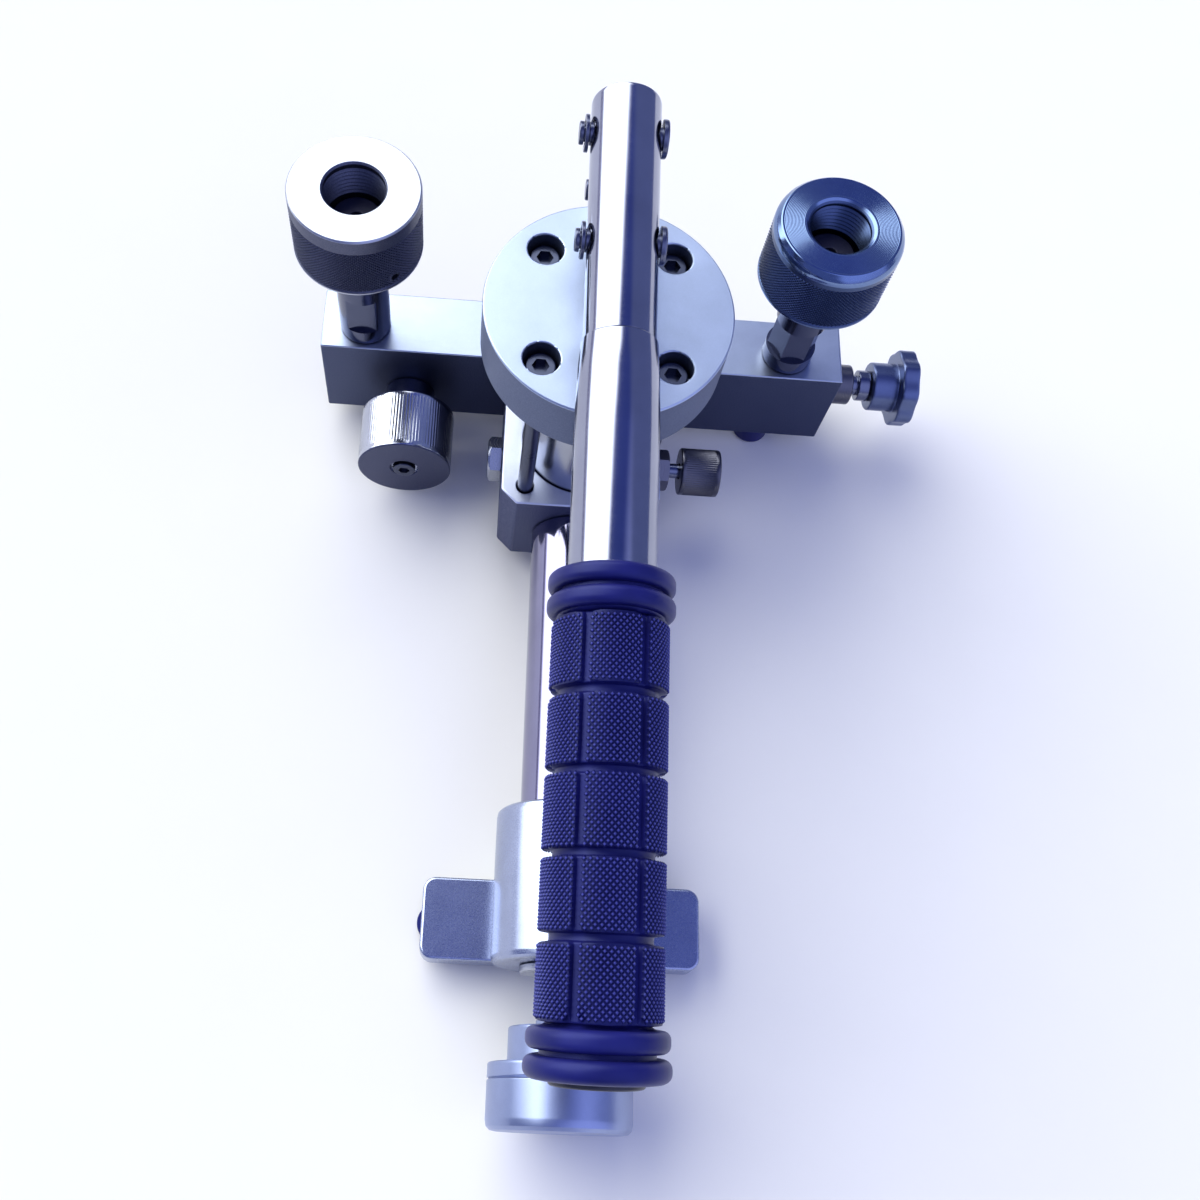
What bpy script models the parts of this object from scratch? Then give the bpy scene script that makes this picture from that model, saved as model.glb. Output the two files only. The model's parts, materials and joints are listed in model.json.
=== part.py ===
"""Hand pressure pump: T-shaped base, lever pump on a vertical barrel, two gauge ports,
three valves and a fine-adjustment cylinder with a handwheel.

Metres, +Z up. The floor is z = 0 and the lever's grip points along -Y. Places are written
from the barrel's axis, and every piece is then moved so that the world origin is the centre
of the pump's outline on the floor.
"""
import math

import bmesh
import bpy
from mathutils import Vector

for old in list(bpy.data.objects):
    bpy.data.objects.remove(old, do_unlink=True)

MM = 0.001

# Fits shared by all pieces
GAP = 0.3 * MM
OVERRUN = 2 * MM
EDGE = 0.8 * MM
FINE_EDGE = 0.4 * MM
WELD = 0.001 * MM

# Facets round a turned piece, by its size
BIG_STEPS = 24
MID_STEPS = 16
SMALL_STEPS = 12
HEX_STEPS = 6
CORNER_STEPS = 2

# Base: the block under the barrel and the crossbar behind it
BASE_LIFT = 8 * MM
BASE_HEIGHT = 36 * MM
BLOCK_WIDTH = 52 * MM
BLOCK_FRONT = 25 * MM
BLOCK_BACK = 30 * MM
BLOCK_CHAMFER = 5 * MM
BAR_LENGTH = 179 * MM
BAR_DEPTH = 23 * MM
BAR_SCREW_REACH = 18 * MM
BAR_SCREW_RISE = 12 * MM
BAR_SCREW_RADIUS = 3 * MM
BAR_SCREW_HEAD_RADIUS = 5 * MM
BAR_SCREW_HEAD_LENGTH = 6 * MM
BAR_SCREW_GRIP = 12 * MM
PASSAGE_RADIUS = 2 * MM
PASSAGE_END = PASSAGE_RADIUS + FINE_EDGE

# Barrel, its head flange and the four long screws that hold them down
BARREL_RADIUS = 19.5 * MM
BARREL_BORE = 12 * MM
BARREL_SEAT = 3 * MM
FLANGE_RADIUS = 35.5 * MM
FLANGE_THICKNESS = 18 * MM
FLANGE_TOP = 116 * MM
TIE_CIRCLE = 26 * MM
TIE_RADIUS = 2.5 * MM
TIE_HEAD_RADIUS = 4.25 * MM
TIE_HEAD_LENGTH = 5 * MM
TIE_BORE_RADIUS = 5.25 * MM
TIE_BORE_DEPTH = 9 * MM
TIE_GRIP = 12 * MM
TIE_COUNT = 4
SEAL_THICKNESS = 2 * MM

# Piston, its rod and the bush that guides it
ROD_RADIUS = 6 * MM
ROD_EYE_THICKNESS = 8 * MM
ROD_EYE_LENGTH = 12 * MM
PISTON_LENGTH = 12 * MM
PISTON_LIFT = 1 * MM
PISTON_GROOVE = 3 * MM
PISTON_GROOVE_DEPTH = 2 * MM
BUSH_RADIUS = 13 * MM
BUSH_COVER = 4 * MM
ROD_SEAL_WALL = 2.5 * MM

# Lever: a head bar in a wider tube, hinged on the piston rod and on two link plates
LEVER_TILT = math.radians(7.5)
LEVER_PIN_RISE = 27 * MM
LINK_PIN_REACH = 32 * MM
HEAD_RADIUS = 9.4 * MM
HEAD_TAIL = 10 * MM
HEAD_ROUND = 1 * MM
TUBE_RADIUS = 10.8 * MM
TUBE_WALL = 1.5 * MM
TUBE_START = 29 * MM
TUBE_LENGTH = 176 * MM
HEAD_SPIGOT = 32 * MM
SLOT_BACK = 17 * MM
SLOT_FRONT = 9 * MM
SLOT_HEIGHT = 6.6 * MM
PIVOT_SLOT_FRONT = 8.5 * MM
PIVOT_SLOT_HEIGHT = 7.9 * MM
PIN_RADIUS = 3 * MM
PIN_HEAD_RADIUS = 5 * MM
PIN_HEAD_LENGTH = 1.5 * MM
PIN_GROOVE_RADIUS = 2.2 * MM
CLIP_RADIUS = 4.8 * MM
CLIP_THICKNESS = 1 * MM
PIN_TIP = 1.2 * MM

# Link plates and the bracket at the back of the flange that carries them
LINK_BASE_REACH = 10.5 * MM
LINK_BASE_DROP = 6 * MM
LINK_THICKNESS = 1.5 * MM
LINK_END_RADIUS = 6.5 * MM
LINK_PIN_PLAY = 1.3 * MM
BRACKET_ROUND = 6 * MM
BRACKET_SCREW_RADIUS = 2 * MM
BRACKET_SCREW_HEAD_RADIUS = 3.5 * MM
BRACKET_SCREW_HEAD_LENGTH = 4 * MM
BRACKET_SCREW_GRIP = 8 * MM
BRACKET_SCREW_RISE = 4.4 * MM
BRACKET_SCREW_WALL = 1.2 * MM

# Rubber grip on the lever tube
GRIP_OVERHANG = 1 * MM
GRIP_LENGTH = 115 * MM
GRIP_RADIUS = 14.5 * MM
GRIP_RING_RADIUS = 16.5 * MM
GRIP_RING_WIDTH = 4.5 * MM
GRIP_RING_GAP = 2.5 * MM
GRIP_RING_ROUND = 1.5 * MM
GRIP_END_RING_WIDTH = 6 * MM
GRIP_CORE_RADIUS = 13 * MM
GRIP_PADS_ALONG = 5
GRIP_PADS_ROUND = 6
GRIP_PADS_TURN = math.radians(-20)
GRIP_CHANNEL_WIDTH = 2.2 * MM
GRIP_CHANNEL_DEPTH = 1 * MM
END_PLUG_LENGTH = 8 * MM
END_PLUG_HEAD = 2 * MM

# Gauge ports: a stem in the crossbar carries a turning union nut
PORT_LEFT = 75 * MM
PORT_RIGHT = 70 * MM
PORT_FORWARD = 1.5 * MM
NUT_RADIUS = 20 * MM
NUT_HEIGHT = 28 * MM
NUT_TAPER = 4 * MM
NUT_TAPER_RADIUS = 16 * MM
NUT_THREAD_RADIUS = 9.3 * MM
NUT_RIM_CHAMFER = 1.2 * MM
NUT_MOUTH_CHAMFER = 1.3 * MM
NUT_FLOOR = 6 * MM
STEM_RADIUS = 8.5 * MM
STEM_NECK_RADIUS = 6 * MM
STEM_NECK_LENGTH = 6.7 * MM
STEM_SOCKET_RADIUS = 6 * MM
STEM_SOCKET_DEPTH = 12 * MM
STEM_FLAT_WIDTH = 14 * MM
STEM_FLAT_LIFT = 6 * MM
STEM_FLAT_HEIGHT = 15 * MM
STEM_BODY_HEIGHT = 31 * MM
STEM_BORE = 2 * MM
STEM_NOSE = 3 * MM
COLLAR_RADIUS = 8.6 * MM
COLLAR_HEIGHT = 4 * MM
PORT_SEAL_RADIUS = 7.5 * MM
PORT_SEAL_HEIGHT = 2 * MM

# Rubber feet under the crossbar
FOOT_RADIUS = 6.5 * MM
FOOT_REACH = 67 * MM
FOOT_INSET = 7 * MM
FOOT_STUD_RADIUS = 3 * MM
FOOT_STUD_LENGTH = 4 * MM

# Left valve, on the crossbar's front face
LEFT_VALVE_REACH = 59.5 * MM
LEFT_VALVE_RISE = 12 * MM
LEFT_KNOB_RADIUS = 16 * MM
LEFT_KNOB_LENGTH = 21.5 * MM
LEFT_KNOB_GAP = 10 * MM
LEFT_KNOB_RECESS_RADIUS = 8 * MM
LEFT_KNOB_RECESS_DEPTH = 2 * MM
LEFT_GLAND_RADIUS = 8.5 * MM
LEFT_GLAND_HEIGHT = 7 * MM
KNOB_SCREW_RADIUS = 2 * MM
KNOB_SCREW_HEAD_RADIUS = 3.8 * MM
KNOB_SCREW_HEAD_LENGTH = 2.5 * MM
KNOB_SCREW_GRIP = 8 * MM

# Valve stems that run through the glands into the base
VALVE_STEM_RADIUS = 3.5 * MM
VALVE_THREAD_RADIUS = 5 * MM
VALVE_BORE_DEPTH = 14 * MM
VALVE_STEM_TIP = 10 * MM
VALVE_CONE = 3 * MM
VALVE_CONE_END_SHARE = 1 / 3
VALVE_TRAVEL = 2 * MM

# Right valve, on the crossbar's end
RIGHT_VALVE_RISE = 18 * MM
RIGHT_GLAND_RADIUS = 7 * MM
RIGHT_GLAND_HEIGHT = 8 * MM
RIGHT_HUB_RADIUS = 8.5 * MM
RIGHT_HUB_GAP = 7 * MM
RIGHT_HUB_LENGTH = 9 * MM
RIGHT_RIM_RADIUS = 13.5 * MM
RIGHT_RIM_LENGTH = 6 * MM
RIGHT_LOBES = 8
RIGHT_LOBE_STEPS = 4
RIGHT_LOBE_DEPTH = 0.9 * MM

# Bleed valve on the block's right side and the plug opposite it
BLEED_RISE = 20 * MM
BLEED_GLAND_RADIUS = 7 * MM
BLEED_GLAND_HEIGHT = 5 * MM
BLEED_STEM_RADIUS = 2.5 * MM
BLEED_THREAD_RADIUS = 4 * MM
BLEED_KNOB_RADIUS = 8 * MM
BLEED_KNOB_GAP = 4 * MM
BLEED_KNOB_LENGTH = 13.5 * MM
BLEED_BORE_DEPTH = 9 * MM
BLEED_STEM_TIP = 6 * MM
BLEED_TRAVEL = 1.5 * MM
PLUG_HEX_RADIUS = 7.5 * MM
PLUG_HEAD = 5 * MM
PLUG_THREAD = 6 * MM
CHECK_BALL_RADIUS = 2.5 * MM

# Fine-adjustment cylinder in front of the block
FINE_RISE = 16 * MM
FINE_RADIUS = 14.5 * MM
FINE_BORE = 8 * MM
FINE_SPIGOT_RADIUS = 11 * MM
FINE_SPIGOT_LENGTH = 12 * MM
FINE_LENGTH = 125 * MM
FINE_PISTON_LENGTH = 14 * MM
FINE_PISTON_INSET = 58 * MM

# Bracket at the cylinder's front end, with two legs
BODY_RADIUS = 21.6 * MM
BODY_OVERLAP = 28 * MM
BODY_LENGTH = 46 * MM
BODY_ROUND = 2 * MM
LEG_FRONT_INSET = 2 * MM
LEG_LENGTH = 25 * MM
LEG_REACH = 43 * MM
LEG_TOP = 14 * MM
LEG_PAD_HEIGHT = 4.3 * MM
LEG_CORNER = 4 * MM
LEG_FOOT_INSET = 4.5 * MM
LEG_FOOT_RADIUS = 6 * MM
LEG_FOOT_STUD_RADIUS = 2.2 * MM
LEG_FOOT_STUD_LENGTH = 3 * MM

# Lead nut, screw and handwheel
SCREW_RADIUS = 6 * MM
SCREW_TIP_RADIUS = 4 * MM
NUT_BUSH_RADIUS = 10 * MM
NUT_BUSH_FLANGE_RADIUS = 13 * MM
NUT_BUSH_FLANGE = 2 * MM
HUB_RADIUS = 15.4 * MM
HUB_GAP = 17.5 * MM
HUB_LENGTH = 10 * MM
HUB_COLLAR_RADIUS = 7.5 * MM
HUB_COLLAR = 2 * MM
WHEEL_RADIUS = 21 * MM
WHEEL_LENGTH = 18.5 * MM
WHEEL_ROUND = 3 * MM
WHEEL_GROOVE_PLACE = 4.2 * MM
WHEEL_GROOVE = 0.6 * MM
WHEEL_FACE = 4 * MM

# Places worked out from the sizes
BASE_TOP = BASE_LIFT + BASE_HEIGHT
BAR_MIDDLE = BLOCK_BACK + BAR_DEPTH / 2
BAR_HALF = BAR_LENGTH / 2
BAR_SCREW_HEIGHT = BASE_LIFT + BAR_SCREW_RISE
LEFT_VALVE_HEIGHT = BASE_LIFT + LEFT_VALVE_RISE
RIGHT_VALVE_HEIGHT = BASE_LIFT + RIGHT_VALVE_RISE
BLEED_HEIGHT = BASE_LIFT + BLEED_RISE
FINE_HEIGHT = BASE_LIFT + FINE_RISE
FINE_END = BLOCK_FRONT + FINE_LENGTH
FINE_PISTON_FRONT = FINE_END - FINE_PISTON_INSET
BODY_BACK = FINE_END - BODY_OVERLAP
BODY_FRONT = BODY_BACK + BODY_LENGTH
NUT_BUSH_DEPTH = BODY_LENGTH - BODY_OVERLAP - GAP
LEG_FOOT_REACH = LEG_REACH - LEG_FOOT_INSET
HUB_BACK = BODY_FRONT + HUB_GAP
PORT_BACK = BAR_MIDDLE - PORT_FORWARD
PORT_TOP = BASE_TOP + GAP + STEM_BODY_HEIGHT + STEM_NECK_LENGTH + NUT_HEIGHT
LEVER_PIN_HEIGHT = FLANGE_TOP + LEVER_PIN_RISE
LINK_BASE_BACK = FLANGE_RADIUS + LINK_BASE_REACH
LINK_BASE_HEIGHT = FLANGE_TOP - LINK_BASE_DROP
FLANGE_BOTTOM = FLANGE_TOP - FLANGE_THICKNESS
BARREL_BOTTOM = BASE_TOP - BARREL_SEAT
BARREL_TOP = FLANGE_BOTTOM + BARREL_SEAT
PISTON_BOTTOM = BARREL_BOTTOM + PISTON_LIFT
PISTON_TOP = PISTON_BOTTOM + PISTON_LENGTH
PISTON_RADIUS = BARREL_BORE - GAP
LEVER_AXIS = Vector((0, 0, LEVER_PIN_HEIGHT))
LINK_PIN = Vector((0, LINK_PIN_REACH * math.cos(LEVER_TILT),
                   LEVER_PIN_HEIGHT + LINK_PIN_REACH * math.sin(LEVER_TILT)))
LINK_BASE = Vector((0, LINK_BASE_BACK, LINK_BASE_HEIGHT))
LINK_LENGTH = (LINK_PIN - LINK_BASE).length
LINK_LEAN = math.atan2(LINK_BASE.y - LINK_PIN.y, LINK_PIN.z - LINK_BASE.z)
PIN_SIDE = HEAD_RADIUS + GAP
PLATE_SIDE = ROD_EYE_THICKNESS / 2
SLOT_SIDE = PLATE_SIDE + GAP
TONGUE_SIDE = PLATE_SIDE - LINK_THICKNESS - GAP
BRACKET_SIDE = BRACKET_SCREW_HEAD_RADIUS + GAP + BRACKET_SCREW_WALL
BRACKET_SCREW_HEIGHT = FLANGE_BOTTOM + BRACKET_SCREW_RISE
BRACKET_HEAD_RISE = math.sqrt(max(0, BRACKET_SCREW_HEAD_RADIUS ** 2 - (TONGUE_SIDE + GAP) ** 2))
LINK_FOOT_RADIUS = LINK_BASE_HEIGHT - BRACKET_SCREW_HEIGHT - BRACKET_HEAD_RISE - GAP
BRACKET_SHOULDER = BRACKET_SCREW_HEIGHT + BRACKET_HEAD_RISE - GAP
TUBE_END = TUBE_START + TUBE_LENGTH
GRIP_END = TUBE_END + GRIP_OVERHANG
GRIP_START = GRIP_END - GRIP_LENGTH
SCREW_SEAT = FLANGE_TOP - TIE_BORE_DEPTH
LEFT_END = -PORT_LEFT - NUT_RADIUS
RIGHT_END = BAR_HALF + RIGHT_GLAND_HEIGHT + RIGHT_HUB_GAP + RIGHT_HUB_LENGTH + RIGHT_RIM_LENGTH
FRONT_END = -HUB_BACK - HUB_LENGTH - WHEEL_LENGTH
BACK_END = PORT_BACK + NUT_RADIUS
BARREL_PLACE = -Vector((LEFT_END + RIGHT_END, FRONT_END + BACK_END, 0)) / 2

UP = Vector((0, 0, 1))
RIGHT = Vector((1, 0, 0))
LEFT = Vector((-1, 0, 0))
BACK = Vector((0, 1, 0))
FRONT = Vector((0, -1, 0))


def material(name, colour, roughness, metallic):
    """A plain Principled material."""
    made = bpy.data.materials.new(name)
    made.use_nodes = True
    shader = made.node_tree.nodes["Principled BSDF"]
    shader.inputs["Base Color"].default_value = (*colour, 1.0)
    shader.inputs["Roughness"].default_value = roughness
    shader.inputs["Metallic"].default_value = metallic
    made.diffuse_color = (*colour, 1.0)
    return made


ALUMINIUM = material("satin_aluminium", (0.72, 0.73, 0.80), 0.42, 1.0)
STEEL = material("polished_stainless", (0.70, 0.70, 0.76), 0.16, 1.0)
DARK_STEEL = material("dark_steel", (0.10, 0.10, 0.12), 0.38, 1.0)
BRASS = material("brass", (0.72, 0.55, 0.25), 0.30, 1.0)
RUBBER = material("black_rubber", (0.015, 0.017, 0.035), 0.62, 0.0)
SEAL = material("black_seal", (0.02, 0.02, 0.02), 0.50, 0.0)
PLASTIC = material("black_plastic", (0.02, 0.02, 0.025), 0.40, 0.0)


def add_object(name, mesh, look, at=(0, 0, 0), parent=None):
    """Link a mesh to the scene as one named object."""
    made = bpy.data.objects.new(name, mesh)
    bpy.context.scene.collection.objects.link(made)
    if look:
        mesh.materials.append(look)
    made.location = Vector(at) + (Vector() if parent else BARREL_PLACE)
    made.parent = parent
    return made


def finish_mesh(name, bm):
    """Turn a bmesh into a mesh with its faces out, shaded smooth with sharp edges."""
    bmesh.ops.remove_doubles(bm, verts=bm.verts, dist=WELD)
    bmesh.ops.recalc_face_normals(bm, faces=bm.faces)
    mesh = bpy.data.meshes.new(name)
    bm.to_mesh(mesh)
    bm.free()
    mesh.shade_smooth()
    mesh.set_sharp_from_angle(angle=math.radians(35))
    return mesh


def turned(name, profile, look, at=(0, 0, 0), axis=UP, steps=MID_STEPS, parent=None):
    """Spin a profile of (radius, height) points about its own axis.

    A profile that starts and ends at radius 0 closes on the axis; any other is a ring.
    """
    bm = bmesh.new()
    points = [bm.verts.new((radius, 0, height)) for radius, height in profile]
    pairs = list(zip(points, points[1:]))
    if profile[0][0] > 0:
        pairs.append((points[-1], points[0]))
    edges = [bm.edges.new(pair) for pair in pairs]
    bmesh.ops.spin(bm, geom=points + edges, cent=(0, 0, 0), axis=UP, angle=math.tau,
                   steps=steps, use_merge=True, use_duplicate=False)
    made = add_object(name, finish_mesh(name, bm), look, at, parent)
    made.rotation_euler = UP.rotation_difference(axis).to_euler()
    return made


def rod(radius, low, high, edge=0.0):
    """Profile of a solid cylinder with chamfered ends."""
    if edge:
        return [(0, low), (radius - edge, low), (radius, low + edge),
                (radius, high - edge), (radius - edge, high), (0, high)]
    return [(0, low), (radius, low), (radius, high), (0, high)]


def ring(inner, outer, low, high, edge=0.0):
    """Profile of a ring whose outer edges are chamfered."""
    if edge:
        return [(inner, low), (outer - edge, low), (outer, low + edge),
                (outer, high - edge), (outer - edge, high), (inner, high)]
    return [(inner, low), (outer, low), (outer, high), (inner, high)]


def extruded(name, outline, along, low, high, look, at=(0, 0, 0), parent=None):
    """Sweep a flat outline of 3-D points from low to high along a direction."""
    bm = bmesh.new()
    corners = [bm.verts.new(Vector(point) + along * low) for point in outline]
    face = bm.faces.new(corners)
    grown = bmesh.ops.extrude_face_region(bm, geom=[face])["geom"]
    moved = [item for item in grown if isinstance(item, bmesh.types.BMVert)]
    bmesh.ops.translate(bm, verts=moved, vec=along * (high - low))
    return add_object(name, finish_mesh(name, bm), look, at, parent)


def box(name, low, high, look, at=(0, 0, 0), parent=None):
    """A box from its lowest to its highest corner."""
    outline = [(low[0], low[1], 0), (high[0], low[1], 0),
               (high[0], high[1], 0), (low[0], high[1], 0)]
    return extruded(name, outline, UP, low[2], high[2], look, at, parent)


def arc(centre_x, centre_y, radius, start, end, steps):
    """Points of an arc in a plane, from one angle to another."""
    turns = [start + (end - start) * step / steps for step in range(steps + 1)]
    return [(centre_x + radius * math.cos(turn), centre_y + radius * math.sin(turn))
            for turn in turns]


def bevel(target, width, segments=1):
    """Round the sharp edges of a piece."""
    made = target.modifiers.new("edge", "BEVEL")
    made.width = width
    made.segments = segments
    made.limit_method = "ANGLE"
    made.angle_limit = math.radians(40)
    return made


def hide(tool):
    """Mark a tool object as a helper that is not part of the model."""
    tool.hide_render = True
    tool.display_type = "WIRE"


def combine(target, tool, operation):
    """Join or intersect a piece with a hidden tool object."""
    hide(tool)
    made = target.modifiers.new(tool.name, "BOOLEAN")
    made.operation = operation
    made.object = tool
    made.solver = "EXACT"


def cut(target, tool):
    """Cut a hidden tool object out of a piece, in one Boolean with its other cuts."""
    hide(tool)
    name = "cuts_in_" + target.name
    group = bpy.data.collections.get(name)
    if group is None:
        group = bpy.data.collections.new(name)
        made = target.modifiers.new(name, "BOOLEAN")
        made.operation = "DIFFERENCE"
        made.operand_type = "COLLECTION"
        made.collection = group
        made.solver = "EXACT"
    group.objects.link(tool)


def drill(target, name, radius, start, axis, depth, steps=SMALL_STEPS, parent=None):
    """Cut a round hole that enters the piece at start and runs along the axis."""
    profile = rod(radius, -OVERRUN, depth)
    tool = turned(name, profile, None, start, axis, steps, parent)
    cut(target, tool)


def tie_places():
    """Centres of the four long screws round the barrel."""
    for step in range(TIE_COUNT):
        turn = math.tau * (step + 0.5) / TIE_COUNT
        yield step + 1, TIE_CIRCLE * math.cos(turn), TIE_CIRCLE * math.sin(turn)


def make_base_block():
    """The block under the barrel, with its front corners cut off."""
    side = BLOCK_WIDTH / 2
    back = BLOCK_BACK - GAP
    outline = [(-side, BLOCK_CHAMFER - BLOCK_FRONT, 0), (BLOCK_CHAMFER - side, -BLOCK_FRONT, 0),
               (side - BLOCK_CHAMFER, -BLOCK_FRONT, 0), (side, BLOCK_CHAMFER - BLOCK_FRONT, 0),
               (side, back, 0), (-side, back, 0)]
    made = extruded("base_block", outline, UP, BASE_LIFT, BASE_TOP, ALUMINIUM)
    bevel(made, EDGE)
    drill(made, "cut_barrel_seat", BARREL_RADIUS + GAP, (0, 0, BASE_TOP), -UP, BARREL_SEAT + GAP,
          BIG_STEPS)
    drill(made, "cut_pump_chamber", BARREL_BORE / 2, (0, 0, BASE_TOP), -UP,
          BASE_TOP - FINE_HEIGHT + PASSAGE_END, MID_STEPS)
    drill(made, "cut_fine_seat", FINE_SPIGOT_RADIUS + GAP, (0, -BLOCK_FRONT, FINE_HEIGHT), BACK,
          FINE_SPIGOT_LENGTH + GAP, MID_STEPS)
    drill(made, "cut_fine_passage", PASSAGE_RADIUS, (0, -BLOCK_FRONT, FINE_HEIGHT), BACK,
          BLOCK_FRONT + BLOCK_BACK + OVERRUN)
    drill(made, "cut_bleed_bore", BLEED_THREAD_RADIUS + GAP, (side, 0, BLEED_HEIGHT), LEFT,
          BLEED_BORE_DEPTH)
    drill(made, "cut_check_bore", BLEED_THREAD_RADIUS + GAP, (-side, 0, BLEED_HEIGHT), RIGHT,
          BLEED_BORE_DEPTH + CHECK_BALL_RADIUS)
    drill(made, "cut_cross_passage", PASSAGE_RADIUS, (-side, 0, BLEED_HEIGHT), RIGHT,
          BLOCK_WIDTH + OVERRUN)
    for step, x, y in tie_places():
        drill(made, f"cut_tie_{step}", TIE_RADIUS + GAP, (x, y, BASE_TOP), -UP, TIE_GRIP + GAP)
    for word, sign in (("left", -1), ("right", 1)):
        drill(made, f"cut_bar_screw_{word}", BAR_SCREW_RADIUS + GAP,
              (sign * BAR_SCREW_REACH, BLOCK_BACK, BAR_SCREW_HEIGHT), FRONT,
              BAR_SCREW_GRIP + GAP)


def make_crossbar():
    """The bar behind the block that carries both gauge ports."""
    back = BLOCK_BACK + BAR_DEPTH
    made = box("crossbar", (-BAR_HALF, BLOCK_BACK, BASE_LIFT), (BAR_HALF, back, BASE_TOP),
               ALUMINIUM)
    bevel(made, EDGE)
    for word, place in (("left", -PORT_LEFT), ("right", PORT_RIGHT)):
        drill(made, f"cut_port_socket_{word}", STEM_SOCKET_RADIUS + GAP,
              (place, PORT_BACK, BASE_TOP), -UP, STEM_SOCKET_DEPTH + GAP)
    for word, sign in (("left", -1), ("right", 1)):
        drill(made, f"cut_foot_{word}", FOOT_STUD_RADIUS + GAP,
              (sign * FOOT_REACH, BLOCK_BACK + FOOT_INSET, BASE_LIFT), UP,
              FOOT_STUD_LENGTH + GAP)
        drill(made, f"cut_head_{word}", BAR_SCREW_HEAD_RADIUS + GAP,
              (sign * BAR_SCREW_REACH, back, BAR_SCREW_HEIGHT), FRONT,
              BAR_SCREW_HEAD_LENGTH + GAP)
        drill(made, f"cut_shank_{word}", BAR_SCREW_RADIUS + GAP,
              (sign * BAR_SCREW_REACH, back, BAR_SCREW_HEIGHT), FRONT,
              BAR_DEPTH + OVERRUN)
    drill(made, "cut_left_valve", VALVE_THREAD_RADIUS + GAP,
          (-LEFT_VALVE_REACH, BLOCK_BACK, LEFT_VALVE_HEIGHT), BACK, VALVE_BORE_DEPTH)
    drill(made, "cut_right_valve", VALVE_THREAD_RADIUS + GAP,
          (BAR_HALF, BAR_MIDDLE, RIGHT_VALVE_HEIGHT), LEFT, VALVE_BORE_DEPTH)
    drill(made, "cut_bar_passage", PASSAGE_RADIUS, (BAR_HALF, BAR_MIDDLE, RIGHT_VALVE_HEIGHT),
          LEFT, BAR_HALF + PORT_LEFT + PASSAGE_END)
    drill(made, "cut_link_passage", PASSAGE_RADIUS, (0, BLOCK_BACK, RIGHT_VALVE_HEIGHT), BACK,
          BAR_DEPTH / 2 + PASSAGE_END)
    for word, place in (("left", -PORT_LEFT), ("right", PORT_RIGHT)):
        drill(made, f"cut_port_passage_{word}", PASSAGE_RADIUS, (place, PORT_BACK, BASE_TOP), -UP,
              BASE_TOP - RIGHT_VALVE_HEIGHT + PASSAGE_END)


def socket_screw(name, radius, head_radius, head_length, length, at, axis, parent=None):
    """A socket-head screw: origin under the head, shank along the axis."""
    profile = [(0, length), (radius - FINE_EDGE, length), (radius, length - FINE_EDGE),
               (radius, 0), (head_radius, 0), (head_radius, FINE_EDGE - head_length),
               (head_radius - FINE_EDGE, -head_length), (0, -head_length)]
    made = turned(name, profile, DARK_STEEL, at, axis, SMALL_STEPS, parent)
    tool = turned("cut_" + name, rod(radius, -OVERRUN, head_length / 2), None,
                  Vector(at) - axis * head_length, axis, HEX_STEPS, parent)
    cut(made, tool)


def make_base_fasteners():
    """Screws that hold the crossbar to the block, and the crossbar's feet."""
    for word, sign in (("left", -1), ("right", 1)):
        seat = BLOCK_BACK + BAR_DEPTH - BAR_SCREW_HEAD_LENGTH
        socket_screw(f"crossbar_screw_{word}", BAR_SCREW_RADIUS, BAR_SCREW_HEAD_RADIUS,
                     BAR_SCREW_HEAD_LENGTH, seat - BLOCK_BACK + BAR_SCREW_GRIP,
                     (sign * BAR_SCREW_REACH, seat, BAR_SCREW_HEIGHT), FRONT)
        profile = [(0, 0), (FOOT_RADIUS - EDGE, 0), (FOOT_RADIUS, EDGE),
                   (FOOT_RADIUS, BASE_LIFT - GAP), (FOOT_STUD_RADIUS, BASE_LIFT - GAP),
                   (FOOT_STUD_RADIUS, BASE_LIFT + FOOT_STUD_LENGTH),
                   (0, BASE_LIFT + FOOT_STUD_LENGTH)]
        turned(f"crossbar_foot_{word}", profile, RUBBER,
               (sign * FOOT_REACH, BLOCK_BACK + FOOT_INSET, 0))


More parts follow.
